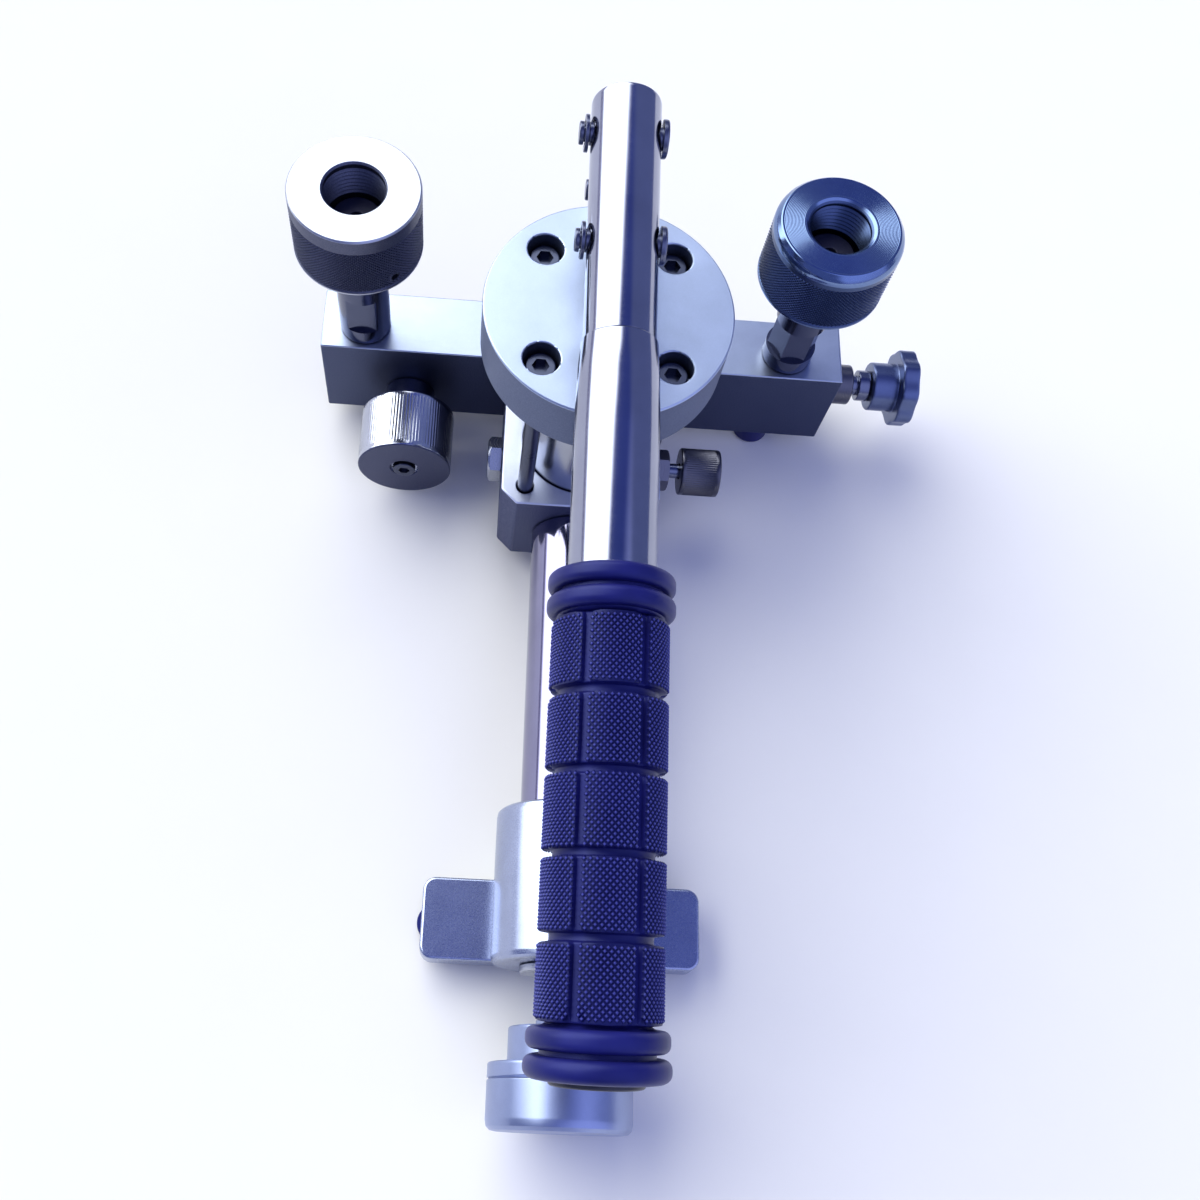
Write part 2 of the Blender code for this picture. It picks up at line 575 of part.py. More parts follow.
def make_barrel():
    """The pump barrel, the seal under it and the head flange on it."""
    turned("barrel", ring(BARREL_BORE, BARREL_RADIUS, BARREL_BOTTOM, BARREL_TOP - GAP), STEEL,
           steps=BIG_STEPS)
    groove = BARREL_TOP - GAP
    low = FLANGE_BOTTOM
    profile = [(BARREL_RADIUS + GAP, low), (FLANGE_RADIUS - EDGE, low),
               (FLANGE_RADIUS, low + EDGE), (FLANGE_RADIUS, FLANGE_TOP - EDGE),
               (FLANGE_RADIUS - EDGE, FLANGE_TOP), (ROD_RADIUS + GAP, FLANGE_TOP),
               (ROD_RADIUS + GAP, FLANGE_TOP - BUSH_COVER),
               (BUSH_RADIUS + GAP, FLANGE_TOP - BUSH_COVER),
               (BUSH_RADIUS + GAP, groove + GAP), (BARREL_RADIUS + GAP, groove + GAP)]
    flange = turned("flange_head", profile, ALUMINIUM, steps=BIG_STEPS)
    for step, x, y in tie_places():
        drill(flange, f"cut_flange_bore_{step}", TIE_BORE_RADIUS, (x, y, FLANGE_TOP), -UP,
              TIE_BORE_DEPTH, MID_STEPS)
        drill(flange, f"cut_flange_hole_{step}", TIE_RADIUS + GAP, (x, y, FLANGE_TOP), -UP,
              FLANGE_THICKNESS + OVERRUN)
        socket_screw(f"tie_screw_{step}", TIE_RADIUS, TIE_HEAD_RADIUS, TIE_HEAD_LENGTH,
                     SCREW_SEAT + GAP - BASE_TOP + TIE_GRIP, (x, y, SCREW_SEAT + GAP), -UP)
    drill(flange, "cut_bracket_screw", BRACKET_SCREW_RADIUS + GAP,
          (0, FLANGE_RADIUS, FLANGE_BOTTOM + BRACKET_SCREW_RISE), FRONT,
          BRACKET_SCREW_GRIP + GAP)


def make_piston(carrier):
    """The piston and rod, and the fixed bush and seal round the rod."""
    low = PISTON_BOTTOM
    groove = low + (PISTON_LENGTH - PISTON_GROOVE) / 2
    profile = [(0, low), (PISTON_RADIUS - FINE_EDGE, low), (PISTON_RADIUS, low + FINE_EDGE),
               (PISTON_RADIUS, groove), (PISTON_RADIUS - PISTON_GROOVE_DEPTH, groove),
               (PISTON_RADIUS - PISTON_GROOVE_DEPTH, groove + PISTON_GROOVE),
               (PISTON_RADIUS, groove + PISTON_GROOVE), (PISTON_RADIUS, PISTON_TOP), (0, PISTON_TOP)]
    turned("piston", profile, BRASS, -LEVER_AXIS, parent=carrier)
    seal = ring(PISTON_RADIUS - PISTON_GROOVE_DEPTH + GAP, PISTON_RADIUS + GAP / 2,
                groove + GAP, groove + PISTON_GROOVE - GAP, FINE_EDGE)
    turned("piston_seal", seal, SEAL, -LEVER_AXIS, parent=carrier)
    top = LEVER_PIN_HEIGHT + ROD_RADIUS
    bar = turned("piston_rod", rod(ROD_RADIUS, PISTON_TOP + GAP, top), STEEL, -LEVER_AXIS,
                 parent=carrier)
    half = ROD_EYE_THICKNESS / 2
    for word, sign in (("left", -1), ("right", 1)):
        near = sign * half
        far = sign * (ROD_RADIUS + OVERRUN)
        tool = box(f"cut_rod_flat_{word}",
                   (min(near, far), -ROD_RADIUS - OVERRUN, -ROD_EYE_LENGTH),
                   (max(near, far), ROD_RADIUS + OVERRUN, ROD_RADIUS + OVERRUN), None,
                   parent=carrier)
        cut(bar, tool)
    eye = [(0, y, z) for y, z in arc(0, 0, ROD_RADIUS - GAP / 2, 0, math.pi, MID_STEPS // 2)]
    foot = PISTON_BOTTOM - LEVER_PIN_HEIGHT
    eye += [(0, GAP / 2 - ROD_RADIUS - OVERRUN, 0), (0, GAP / 2 - ROD_RADIUS - OVERRUN, foot),
            (0, ROD_RADIUS + OVERRUN - GAP / 2, foot), (0, ROD_RADIUS + OVERRUN - GAP / 2, 0)]
    tool = extruded("keep_rod_eye", eye, RIGHT, -ROD_RADIUS - OVERRUN, ROD_RADIUS + OVERRUN, None,
                    parent=carrier)
    combine(bar, tool, "INTERSECT")
    drill(bar, "cut_rod_eye", PIN_RADIUS + GAP, (-ROD_RADIUS, 0, 0), RIGHT,
          2 * ROD_RADIUS + OVERRUN, parent=carrier)

    seal_top = FLANGE_TOP - BUSH_COVER - GAP
    seal_low = seal_top - SEAL_THICKNESS
    turned("rod_bush", ring(ROD_RADIUS + GAP, BUSH_RADIUS, BARREL_TOP, seal_low - GAP), BRASS)
    turned("rod_seal", ring(ROD_RADIUS + GAP, ROD_RADIUS + ROD_SEAL_WALL + GAP, seal_low, seal_top),
           SEAL, steps=SMALL_STEPS)


def pin_with_clip(name, side, at, parent=None):
    """A headed cross pin and the clip on its other end, either side of a stack."""
    groove = side + GAP + CLIP_THICKNESS
    profile = [(0, -side - PIN_HEAD_LENGTH), (PIN_HEAD_RADIUS - EDGE, -side - PIN_HEAD_LENGTH),
               (PIN_HEAD_RADIUS, EDGE - side - PIN_HEAD_LENGTH), (PIN_HEAD_RADIUS, -side),
               (PIN_RADIUS, -side), (PIN_RADIUS, side), (PIN_GROOVE_RADIUS, side),
               (PIN_GROOVE_RADIUS, groove + GAP), (PIN_RADIUS, groove + GAP),
               (PIN_RADIUS, groove + GAP + PIN_TIP), (0, groove + GAP + PIN_TIP)]
    turned(name + "_pin", profile, DARK_STEEL, at, LEFT, SMALL_STEPS, parent)
    clip = ring(PIN_GROOVE_RADIUS + GAP, CLIP_RADIUS, side + GAP, groove)
    turned(name + "_clip", clip, DARK_STEEL, at, LEFT, SMALL_STEPS, parent)


def make_lever(carrier):
    """The head bar, the tube and the pins, in the lever's own tilted frame."""
    tail = -LINK_PIN_REACH - HEAD_TAIL
    nose = TUBE_START + HEAD_SPIGOT
    spigot = TUBE_RADIUS - TUBE_WALL - GAP
    round_end = [(HEAD_RADIUS - HEAD_ROUND + r, tail + HEAD_ROUND + h)
                 for r, h in arc(0, 0, HEAD_ROUND, -math.pi / 2, 0, CORNER_STEPS)]
    profile = [(0, tail)] + round_end + [(HEAD_RADIUS, TUBE_START - GAP), (spigot, TUBE_START - GAP),
                                         (spigot, nose), (0, nose)]
    head = turned("lever_head", profile, STEEL, axis=FRONT, parent=carrier)
    tool = box("cut_rod_slot", (-SLOT_SIDE, -SLOT_FRONT, -HEAD_RADIUS - OVERRUN),
               (SLOT_SIDE, SLOT_BACK, SLOT_HEIGHT), None, parent=carrier)
    cut(head, tool)
    tool = box("cut_link_slot",
               (-SLOT_SIDE, LINK_PIN_REACH - PIVOT_SLOT_FRONT, -HEAD_RADIUS - OVERRUN),
               (SLOT_SIDE, LINK_PIN_REACH + HEAD_TAIL + OVERRUN, PIVOT_SLOT_HEIGHT), None,
               parent=carrier)
    cut(head, tool)
    drill(head, "cut_rod_pin", PIN_RADIUS + GAP, (-HEAD_RADIUS, 0, 0), RIGHT,
          2 * HEAD_RADIUS + OVERRUN, parent=carrier)
    drill(head, "cut_link_pin", PIN_RADIUS + GAP, (-HEAD_RADIUS, LINK_PIN_REACH, 0), RIGHT,
          2 * HEAD_RADIUS + OVERRUN, parent=carrier)
    inner = TUBE_RADIUS - TUBE_WALL
    end = TUBE_END
    turned("lever_tube", ring(inner, TUBE_RADIUS, TUBE_START, end, FINE_EDGE), STEEL, axis=FRONT,
           parent=carrier)
    plug = [(0, end - END_PLUG_LENGTH), (inner - GAP, end - END_PLUG_LENGTH), (inner - GAP, end + GAP),
            (TUBE_RADIUS, end + GAP), (TUBE_RADIUS, end + GAP + END_PLUG_HEAD - EDGE),
            (TUBE_RADIUS - EDGE, end + GAP + END_PLUG_HEAD), (0, end + GAP + END_PLUG_HEAD)]
    turned("lever_end_plug", plug, PLASTIC, axis=FRONT, parent=carrier)
    pin_with_clip("rod", PIN_SIDE, (0, 0, 0), carrier)
    pin_with_clip("lever_pivot", PIN_SIDE, (0, LINK_PIN_REACH, 0), carrier)


def make_grip(carrier):
    """The rubber grip: two rings, the long sleeve and two rings."""
    low = GRIP_START
    high = GRIP_END
    inner = TUBE_RADIUS + GAP
    profile = [(inner, low)]
    rings = [low, low + GRIP_RING_WIDTH + GRIP_RING_GAP]
    for start in rings:
        profile += grip_ring(start, start + GRIP_RING_WIDTH)
    body_low = rings[-1] + GRIP_RING_WIDTH + GRIP_RING_GAP
    end_ring = high - GRIP_END_RING_WIDTH
    first_ring = end_ring - GRIP_RING_GAP - GRIP_RING_WIDTH
    body_high = first_ring - GRIP_RING_GAP
    floor = GRIP_RADIUS - GRIP_CHANNEL_DEPTH
    side = GRIP_CHANNEL_WIDTH / 2
    profile += [(GRIP_CORE_RADIUS, body_low), (GRIP_RADIUS, body_low + EDGE)]
    for step in range(1, GRIP_PADS_ALONG):
        groove = body_low + (body_high - body_low) * step / GRIP_PADS_ALONG
        profile += [(GRIP_RADIUS, groove - side), (floor, groove - side),
                    (floor, groove + side), (GRIP_RADIUS, groove + side)]
    profile += [(GRIP_RADIUS, body_high - EDGE), (GRIP_CORE_RADIUS, body_high)]
    profile += grip_ring(first_ring, first_ring + GRIP_RING_WIDTH)
    profile += grip_ring(end_ring, high)
    profile += [(inner, high)]
    grip = turned("lever_grip", profile, RUBBER, axis=FRONT, steps=BIG_STEPS, parent=carrier)
    bottom = floor - GRIP_CHANNEL_DEPTH / 2
    for step in range(GRIP_PADS_ROUND):
        tool = box(f"cut_grip_channel_{step}", (-side, -body_high - GAP, bottom),
                   (side, GAP - body_low, GRIP_RADIUS + OVERRUN), None, parent=carrier)
        tool.rotation_euler = (0, GRIP_PADS_TURN + math.tau * step / GRIP_PADS_ROUND, 0)
        cut(grip, tool)


def grip_ring(low, high):
    """One raised ring of the grip, rounded at its edges."""
    edge = GRIP_RING_RADIUS - GRIP_RING_ROUND
    return [(GRIP_CORE_RADIUS, low), (edge, low), (GRIP_RING_RADIUS, low + GRIP_RING_ROUND),
            (GRIP_RING_RADIUS, high - GRIP_RING_ROUND), (edge, high), (GRIP_CORE_RADIUS, high)]


def make_link(carrier):
    """Two link plates between the bracket's pin and the lever's pivot pin."""
    outline = [(0, y, z) for y, z in arc(0, LINK_LENGTH, LINK_END_RADIUS, 0, math.pi,
                                         MID_STEPS // 2)]
    outline += [(0, y, z) for y, z in arc(0, 0, LINK_FOOT_RADIUS, math.pi, math.tau,
                                          MID_STEPS // 2)]
    for word, low in (("left", -PLATE_SIDE), ("right", PLATE_SIDE - LINK_THICKNESS)):
        plate = extruded(f"link_plate_{word}", outline, RIGHT, low, low + LINK_THICKNESS, STEEL,
                         parent=carrier)
        drill(plate, f"cut_link_base_{word}", PIN_RADIUS + GAP, (low, 0, 0), RIGHT,
              LINK_THICKNESS + OVERRUN, parent=carrier)
        drill(plate, f"cut_link_top_{word}", PIN_RADIUS + LINK_PIN_PLAY, (low, 0, LINK_LENGTH),
              RIGHT, LINK_THICKNESS + OVERRUN, parent=carrier)


def make_link_bracket():
    """The lug screwed to the back of the flange, with a tongue between the plates."""
    front = FLANGE_RADIUS / 2
    back = LINK_BASE_BACK + BRACKET_ROUND
    top = LINK_BASE_HEIGHT + BRACKET_ROUND
    low = FLANGE_BOTTOM
    corner = arc(back - BRACKET_ROUND, LINK_BASE_HEIGHT, BRACKET_ROUND, 0, math.pi / 2,
                 2 * CORNER_STEPS)
    outline = [(0, front, low), (0, back, low)] + [(0, y, z) for y, z in corner]
    outline += [(0, front, top)]
    made = extruded("link_bracket", outline, RIGHT, -BRACKET_SIDE, BRACKET_SIDE, ALUMINIUM)
    tool = turned("cut_bracket_seat", rod(FLANGE_RADIUS + GAP, low - OVERRUN, top + OVERRUN),
                  None, steps=BIG_STEPS)
    cut(made, tool)
    for word, sign in (("left", -1), ("right", 1)):
        near, far = sorted((sign * TONGUE_SIDE, sign * (BRACKET_SIDE + OVERRUN)))
        cut(made, box(f"cut_bracket_{word}", (near, 0, BRACKET_SHOULDER),
                      (far, back + OVERRUN, top + OVERRUN), None))
    drill(made, "cut_bracket_pin", PIN_RADIUS + GAP, LINK_BASE + LEFT * BRACKET_SIDE, RIGHT,
          2 * BRACKET_SIDE + OVERRUN)
    height = BRACKET_SCREW_HEIGHT
    seat = back - BRACKET_SCREW_HEAD_LENGTH
    drill(made, "cut_bracket_head", BRACKET_SCREW_HEAD_RADIUS + GAP, (0, back, height), FRONT,
          BRACKET_SCREW_HEAD_LENGTH + GAP)
    drill(made, "cut_bracket_shank", BRACKET_SCREW_RADIUS + GAP, (0, back, height), FRONT,
          back - front)
    socket_screw("link_bracket_screw", BRACKET_SCREW_RADIUS, BRACKET_SCREW_HEAD_RADIUS,
                 BRACKET_SCREW_HEAD_LENGTH, seat - FLANGE_RADIUS + BRACKET_SCREW_GRIP,
                 (0, seat, height), FRONT)
    pin_with_clip("link_base", SLOT_SIDE, LINK_BASE)


def make_port(word, place, hexagonal):
    """One gauge port: stem, collar, seal and turning union nut."""
    at = (place, PORT_BACK, 0)
    shoulder = BASE_TOP + GAP
    neck = shoulder + STEM_BODY_HEIGHT
    nut_low = PORT_TOP - NUT_HEIGHT
    floor = nut_low + NUT_FLOOR
    collar = floor + GAP
    nose = collar + COLLAR_HEIGHT + STEM_NOSE
    profile = [(STEM_BORE, BASE_TOP - STEM_SOCKET_DEPTH),
               (STEM_SOCKET_RADIUS, BASE_TOP - STEM_SOCKET_DEPTH), (STEM_SOCKET_RADIUS, shoulder),
               (STEM_RADIUS, shoulder), (STEM_RADIUS, neck), (STEM_NECK_RADIUS, neck),
               (STEM_NECK_RADIUS, nose), (STEM_BORE, nose)]
    stem = turned(f"port_stem_{word}", profile, STEEL, at)
    flat = STEM_FLAT_WIDTH / 2
    sides = HEX_STEPS if hexagonal else 2
    far = STEM_RADIUS + OVERRUN
    for side in range(sides):
        tool = box(f"cut_stem_{word}_{side}", (flat, -far, shoulder + STEM_FLAT_LIFT),
                   (far, far, shoulder + STEM_FLAT_LIFT + STEM_FLAT_HEIGHT), None, at)
        tool.rotation_euler = (0, 0, math.tau * side / sides + math.pi / sides)
        cut(stem, tool)
    nut = [(STEM_NECK_RADIUS + GAP, nut_low), (NUT_TAPER_RADIUS, nut_low),
           (NUT_RADIUS, nut_low + NUT_TAPER), (NUT_RADIUS, PORT_TOP - NUT_RIM_CHAMFER),
           (NUT_RADIUS - NUT_RIM_CHAMFER, PORT_TOP),
           (NUT_THREAD_RADIUS + NUT_MOUTH_CHAMFER, PORT_TOP),
           (NUT_THREAD_RADIUS, PORT_TOP - NUT_MOUTH_CHAMFER), (NUT_THREAD_RADIUS, floor),
           (STEM_NECK_RADIUS + GAP, floor)]
    turned(f"port_nut_{word}", nut, ALUMINIUM, at, steps=BIG_STEPS)
    turned(f"port_collar_{word}", ring(STEM_NECK_RADIUS + GAP, COLLAR_RADIUS, collar,
                                       collar + COLLAR_HEIGHT, FINE_EDGE), DARK_STEEL, at)
    seal = ring(STEM_BORE, PORT_SEAL_RADIUS, nose + GAP, nose + GAP + PORT_SEAL_HEIGHT, FINE_EDGE)
    turned(f"port_seal_{word}", seal, SEAL, at)


def valve_stem(name, radius, thread_radius, travel, tip, outer, at, axis):
    """A valve stem: origin on the mounting face, cone into the base, shank outwards.

    Its thread ends short of the gland by the way the stem travels when the valve opens.
    """
    shoulder = -GAP - travel
    profile = [(0, -tip), (thread_radius * VALVE_CONE_END_SHARE, -tip),
               (thread_radius, VALVE_CONE - tip), (thread_radius, shoulder), (radius, shoulder),
               (radius, outer), (0, outer)]
    return turned(name, profile, STEEL, at, axis, SMALL_STEPS)


def make_left_valve():
    """Big round knob on the crossbar's front face."""
    at = Vector((-LEFT_VALVE_REACH, BLOCK_BACK, LEFT_VALVE_HEIGHT))
    turned("left_valve_gland", ring(VALVE_STEM_RADIUS + GAP, LEFT_GLAND_RADIUS, GAP,
                                    LEFT_GLAND_HEIGHT, EDGE), STEEL, at, FRONT)
    knob_low = LEFT_KNOB_GAP
    knob_high = LEFT_KNOB_GAP + LEFT_KNOB_LENGTH
    floor = knob_high - LEFT_KNOB_RECESS_DEPTH
    stem_end = floor - LEFT_KNOB_RECESS_DEPTH
    stem = valve_stem("left_valve_stem", VALVE_STEM_RADIUS, VALVE_THREAD_RADIUS, VALVE_TRAVEL,
                      VALVE_STEM_TIP, stem_end, at, FRONT)
    drill(stem, "cut_left_stem", KNOB_SCREW_RADIUS + GAP, at + FRONT * stem_end, BACK,
          KNOB_SCREW_GRIP)
    profile = [(VALVE_STEM_RADIUS + GAP, knob_low), (LEFT_KNOB_RADIUS - EDGE, knob_low),
               (LEFT_KNOB_RADIUS, knob_low + EDGE), (LEFT_KNOB_RADIUS, knob_high - EDGE),
               (LEFT_KNOB_RADIUS - EDGE, knob_high), (LEFT_KNOB_RECESS_RADIUS, knob_high),
               (LEFT_KNOB_RECESS_RADIUS, floor), (KNOB_SCREW_RADIUS + GAP, floor),
               (KNOB_SCREW_RADIUS + GAP, stem_end + GAP), (VALVE_STEM_RADIUS + GAP, stem_end + GAP)]
    turned("left_valve_knob", profile, STEEL, at, FRONT, BIG_STEPS)
    socket_screw("left_valve_knob_screw", KNOB_SCREW_RADIUS, KNOB_SCREW_HEAD_RADIUS,
                 KNOB_SCREW_HEAD_LENGTH, KNOB_SCREW_GRIP, at + FRONT * (floor + GAP), BACK)


def make_right_valve():
    """Lobed knob on the crossbar's right end."""
    at = Vector((BAR_HALF, BAR_MIDDLE, RIGHT_VALVE_HEIGHT))
    turned("right_valve_gland", ring(VALVE_STEM_RADIUS + GAP, RIGHT_GLAND_RADIUS, GAP,
                                     RIGHT_GLAND_HEIGHT, EDGE), STEEL, at, RIGHT)
    low = RIGHT_GLAND_HEIGHT + RIGHT_HUB_GAP
    rim = low + RIGHT_HUB_LENGTH
    high = rim + RIGHT_RIM_LENGTH
    stem_end = high - RIGHT_RIM_LENGTH / 2
    valve_stem("right_valve_stem", VALVE_STEM_RADIUS, VALVE_THREAD_RADIUS, VALVE_TRAVEL,
               VALVE_STEM_TIP, stem_end, at, RIGHT)
    count = RIGHT_LOBES * RIGHT_LOBE_STEPS
    outline = []
    for step in range(count):
        turn = math.tau * step / count
        wave = (1 + math.cos(RIGHT_LOBES * turn)) / 2
        radius = RIGHT_RIM_RADIUS - RIGHT_LOBE_DEPTH * (1 - wave)
        outline.append((0, radius * math.cos(turn), radius * math.sin(turn)))
    knob = extruded("right_valve_knob", outline, RIGHT, rim, high, STEEL, at)
    hub = turned("join_right_hub", rod(RIGHT_HUB_RADIUS, low, rim + RIGHT_RIM_LENGTH / 2), None,
                 at, RIGHT)
    combine(knob, hub, "UNION")
    drill(knob, "cut_right_knob", VALVE_STEM_RADIUS + GAP, at + RIGHT * low, RIGHT,
          stem_end + GAP - low)


def make_bleed_valve():
    """Small knurled bleed valve, with a hexagon plug and check ball opposite."""
    side = BLOCK_WIDTH / 2
    at = Vector((side, 0, BLEED_HEIGHT))
    gland = turned("bleed_valve_gland", rod(BLEED_GLAND_RADIUS, GAP, BLEED_GLAND_HEIGHT, EDGE),
                   STEEL, at, RIGHT, HEX_STEPS)
    drill(gland, "cut_bleed_gland", BLEED_STEM_RADIUS + GAP, at, RIGHT,
          BLEED_GLAND_HEIGHT + OVERRUN)
    low = BLEED_GLAND_HEIGHT + BLEED_KNOB_GAP
    high = low + BLEED_KNOB_LENGTH
    stem_end = low + BLEED_KNOB_LENGTH / 2
    valve_stem("bleed_valve_stem", BLEED_STEM_RADIUS, BLEED_THREAD_RADIUS, BLEED_TRAVEL,
               BLEED_STEM_TIP, stem_end, at, RIGHT)
    profile = [(0, stem_end + GAP), (BLEED_STEM_RADIUS + GAP, stem_end + GAP),
               (BLEED_STEM_RADIUS + GAP, low), (BLEED_KNOB_RADIUS - EDGE, low),
               (BLEED_KNOB_RADIUS, low + EDGE), (BLEED_KNOB_RADIUS, high - EDGE),
               (BLEED_KNOB_RADIUS - EDGE, high), (0, high)]
    turned("bleed_valve_knob", profile, DARK_STEEL, at, RIGHT)
    at = Vector((-side, 0, BLEED_HEIGHT))
    plug = [(0, -PLUG_THREAD), (BLEED_THREAD_RADIUS, -PLUG_THREAD), (BLEED_THREAD_RADIUS, GAP),
            (PLUG_HEX_RADIUS, GAP), (PLUG_HEX_RADIUS, PLUG_HEAD - EDGE),
            (PLUG_HEX_RADIUS - EDGE, PLUG_HEAD), (0, PLUG_HEAD)]
    turned("check_valve_plug", plug, STEEL, at, LEFT, HEX_STEPS)
    centre = PLUG_THREAD + GAP + CHECK_BALL_RADIUS
    ball = [(CHECK_BALL_RADIUS * math.sin(math.pi * step / HEX_STEPS),
             -CHECK_BALL_RADIUS * math.cos(math.pi * step / HEX_STEPS))
            for step in range(HEX_STEPS + 1)]
    ball[0] = (0, ball[0][1])
    ball[-1] = (0, ball[-1][1])
    turned("check_valve_ball", ball, STEEL, at + RIGHT * centre, RIGHT, HEX_STEPS * 2)


def make_fine_cylinder(carrier):
    """The fine-adjustment cylinder with its piston and seal."""
    profile = [(FINE_BORE, BLOCK_FRONT - FINE_SPIGOT_LENGTH),
               (FINE_SPIGOT_RADIUS, BLOCK_FRONT - FINE_SPIGOT_LENGTH),
               (FINE_SPIGOT_RADIUS, BLOCK_FRONT + GAP), (FINE_RADIUS, BLOCK_FRONT + GAP),
               (FINE_RADIUS, FINE_END), (FINE_BORE, FINE_END)]
    turned("fine_cylinder", profile, STEEL, (0, 0, FINE_HEIGHT), FRONT, BIG_STEPS)
    radius = FINE_BORE - GAP
    low = FINE_PISTON_FRONT - FINE_PISTON_LENGTH
    groove = FINE_PISTON_FRONT - FINE_PISTON_LENGTH / 2
    piston = [(0, low), (radius - FINE_EDGE, low), (radius, low + FINE_EDGE), (radius, groove),
              (radius - PISTON_GROOVE_DEPTH, groove),
              (radius - PISTON_GROOVE_DEPTH, groove + PISTON_GROOVE),
              (radius, groove + PISTON_GROOVE), (radius, FINE_PISTON_FRONT),
              (0, FINE_PISTON_FRONT)]
    turned("fine_piston", piston, BRASS, axis=FRONT, steps=SMALL_STEPS, parent=carrier)
    seal = ring(radius - PISTON_GROOVE_DEPTH + GAP, radius + GAP / 2, groove + GAP,
                groove + PISTON_GROOVE - GAP, FINE_EDGE)
    turned("fine_piston_seal", seal, SEAL, axis=FRONT, steps=SMALL_STEPS, parent=carrier)


def make_bracket():
    """The bracket on the cylinder's front end: round body, two legs and their feet."""
    front = BODY_FRONT
    round_back = [(BODY_RADIUS - BODY_ROUND + r, BODY_BACK + BODY_ROUND + h)
                  for r, h in arc(0, 0, BODY_ROUND, -math.pi / 2, 0, CORNER_STEPS)]
    round_front = [(BODY_RADIUS - BODY_ROUND + r, front - BODY_ROUND + h)
                   for r, h in arc(0, 0, BODY_ROUND, 0, math.pi / 2, CORNER_STEPS)]
    profile = [(0, BODY_BACK)] + round_back + round_front + [(0, front)]
    made = turned("fine_bracket", profile, ALUMINIUM, (0, 0, FINE_HEIGHT), FRONT, BIG_STEPS)
    leg_front = front - LEG_FRONT_INSET
    leg_back = leg_front - LEG_LENGTH
    plan = []
    for sign_x, sign_y, start in ((1, 1, 0), (-1, 1, 1), (-1, -1, 2), (1, -1, 3)):
        centre_y = -leg_back - LEG_CORNER if sign_y > 0 else LEG_CORNER - leg_front
        turn = start * math.pi / 2
        plan += arc(sign_x * (LEG_REACH - LEG_CORNER), centre_y, LEG_CORNER, turn,
                    turn + math.pi / 2, CORNER_STEPS)
    legs = extruded("join_legs", [(x, y, 0) for x, y in plan], UP, LEG_PAD_HEIGHT, LEG_TOP, None)
    combine(made, legs, "UNION")
    drill(made, "cut_body_tube", FINE_RADIUS + GAP, (0, -BODY_BACK, FINE_HEIGHT), FRONT,
          BODY_OVERLAP + GAP, BIG_STEPS)
    drill(made, "cut_body_nut", NUT_BUSH_RADIUS + GAP, (0, -front, FINE_HEIGHT), BACK,
          BODY_LENGTH, MID_STEPS)
    for word, sign in (("left", -1), ("right", 1)):
        middle = -(leg_back + leg_front) / 2
        drill(made, f"cut_leg_foot_{word}", LEG_FOOT_STUD_RADIUS + GAP,
              (sign * LEG_FOOT_REACH, middle, LEG_PAD_HEIGHT), UP, LEG_FOOT_STUD_LENGTH + GAP)
        pad = LEG_PAD_HEIGHT - GAP
        profile = [(0, 0), (LEG_FOOT_RADIUS - EDGE, 0), (LEG_FOOT_RADIUS, EDGE),
                   (LEG_FOOT_RADIUS, pad), (LEG_FOOT_STUD_RADIUS, pad),
                   (LEG_FOOT_STUD_RADIUS, pad + LEG_FOOT_STUD_LENGTH),
                   (0, pad + LEG_FOOT_STUD_LENGTH)]
        turned(f"leg_foot_{word}", profile, RUBBER, (sign * LEG_FOOT_REACH, middle, 0),
               steps=SMALL_STEPS)
    bush_low = front - NUT_BUSH_DEPTH
    profile = [(SCREW_RADIUS + GAP, bush_low), (NUT_BUSH_RADIUS, bush_low),
               (NUT_BUSH_RADIUS, front + GAP), (NUT_BUSH_FLANGE_RADIUS, front + GAP),
               (NUT_BUSH_FLANGE_RADIUS, front + GAP + NUT_BUSH_FLANGE - EDGE),
               (NUT_BUSH_FLANGE_RADIUS - EDGE, front + GAP + NUT_BUSH_FLANGE),
               (SCREW_RADIUS + GAP, front + GAP + NUT_BUSH_FLANGE)]
    turned("lead_nut", profile, ALUMINIUM, (0, 0, FINE_HEIGHT), FRONT)


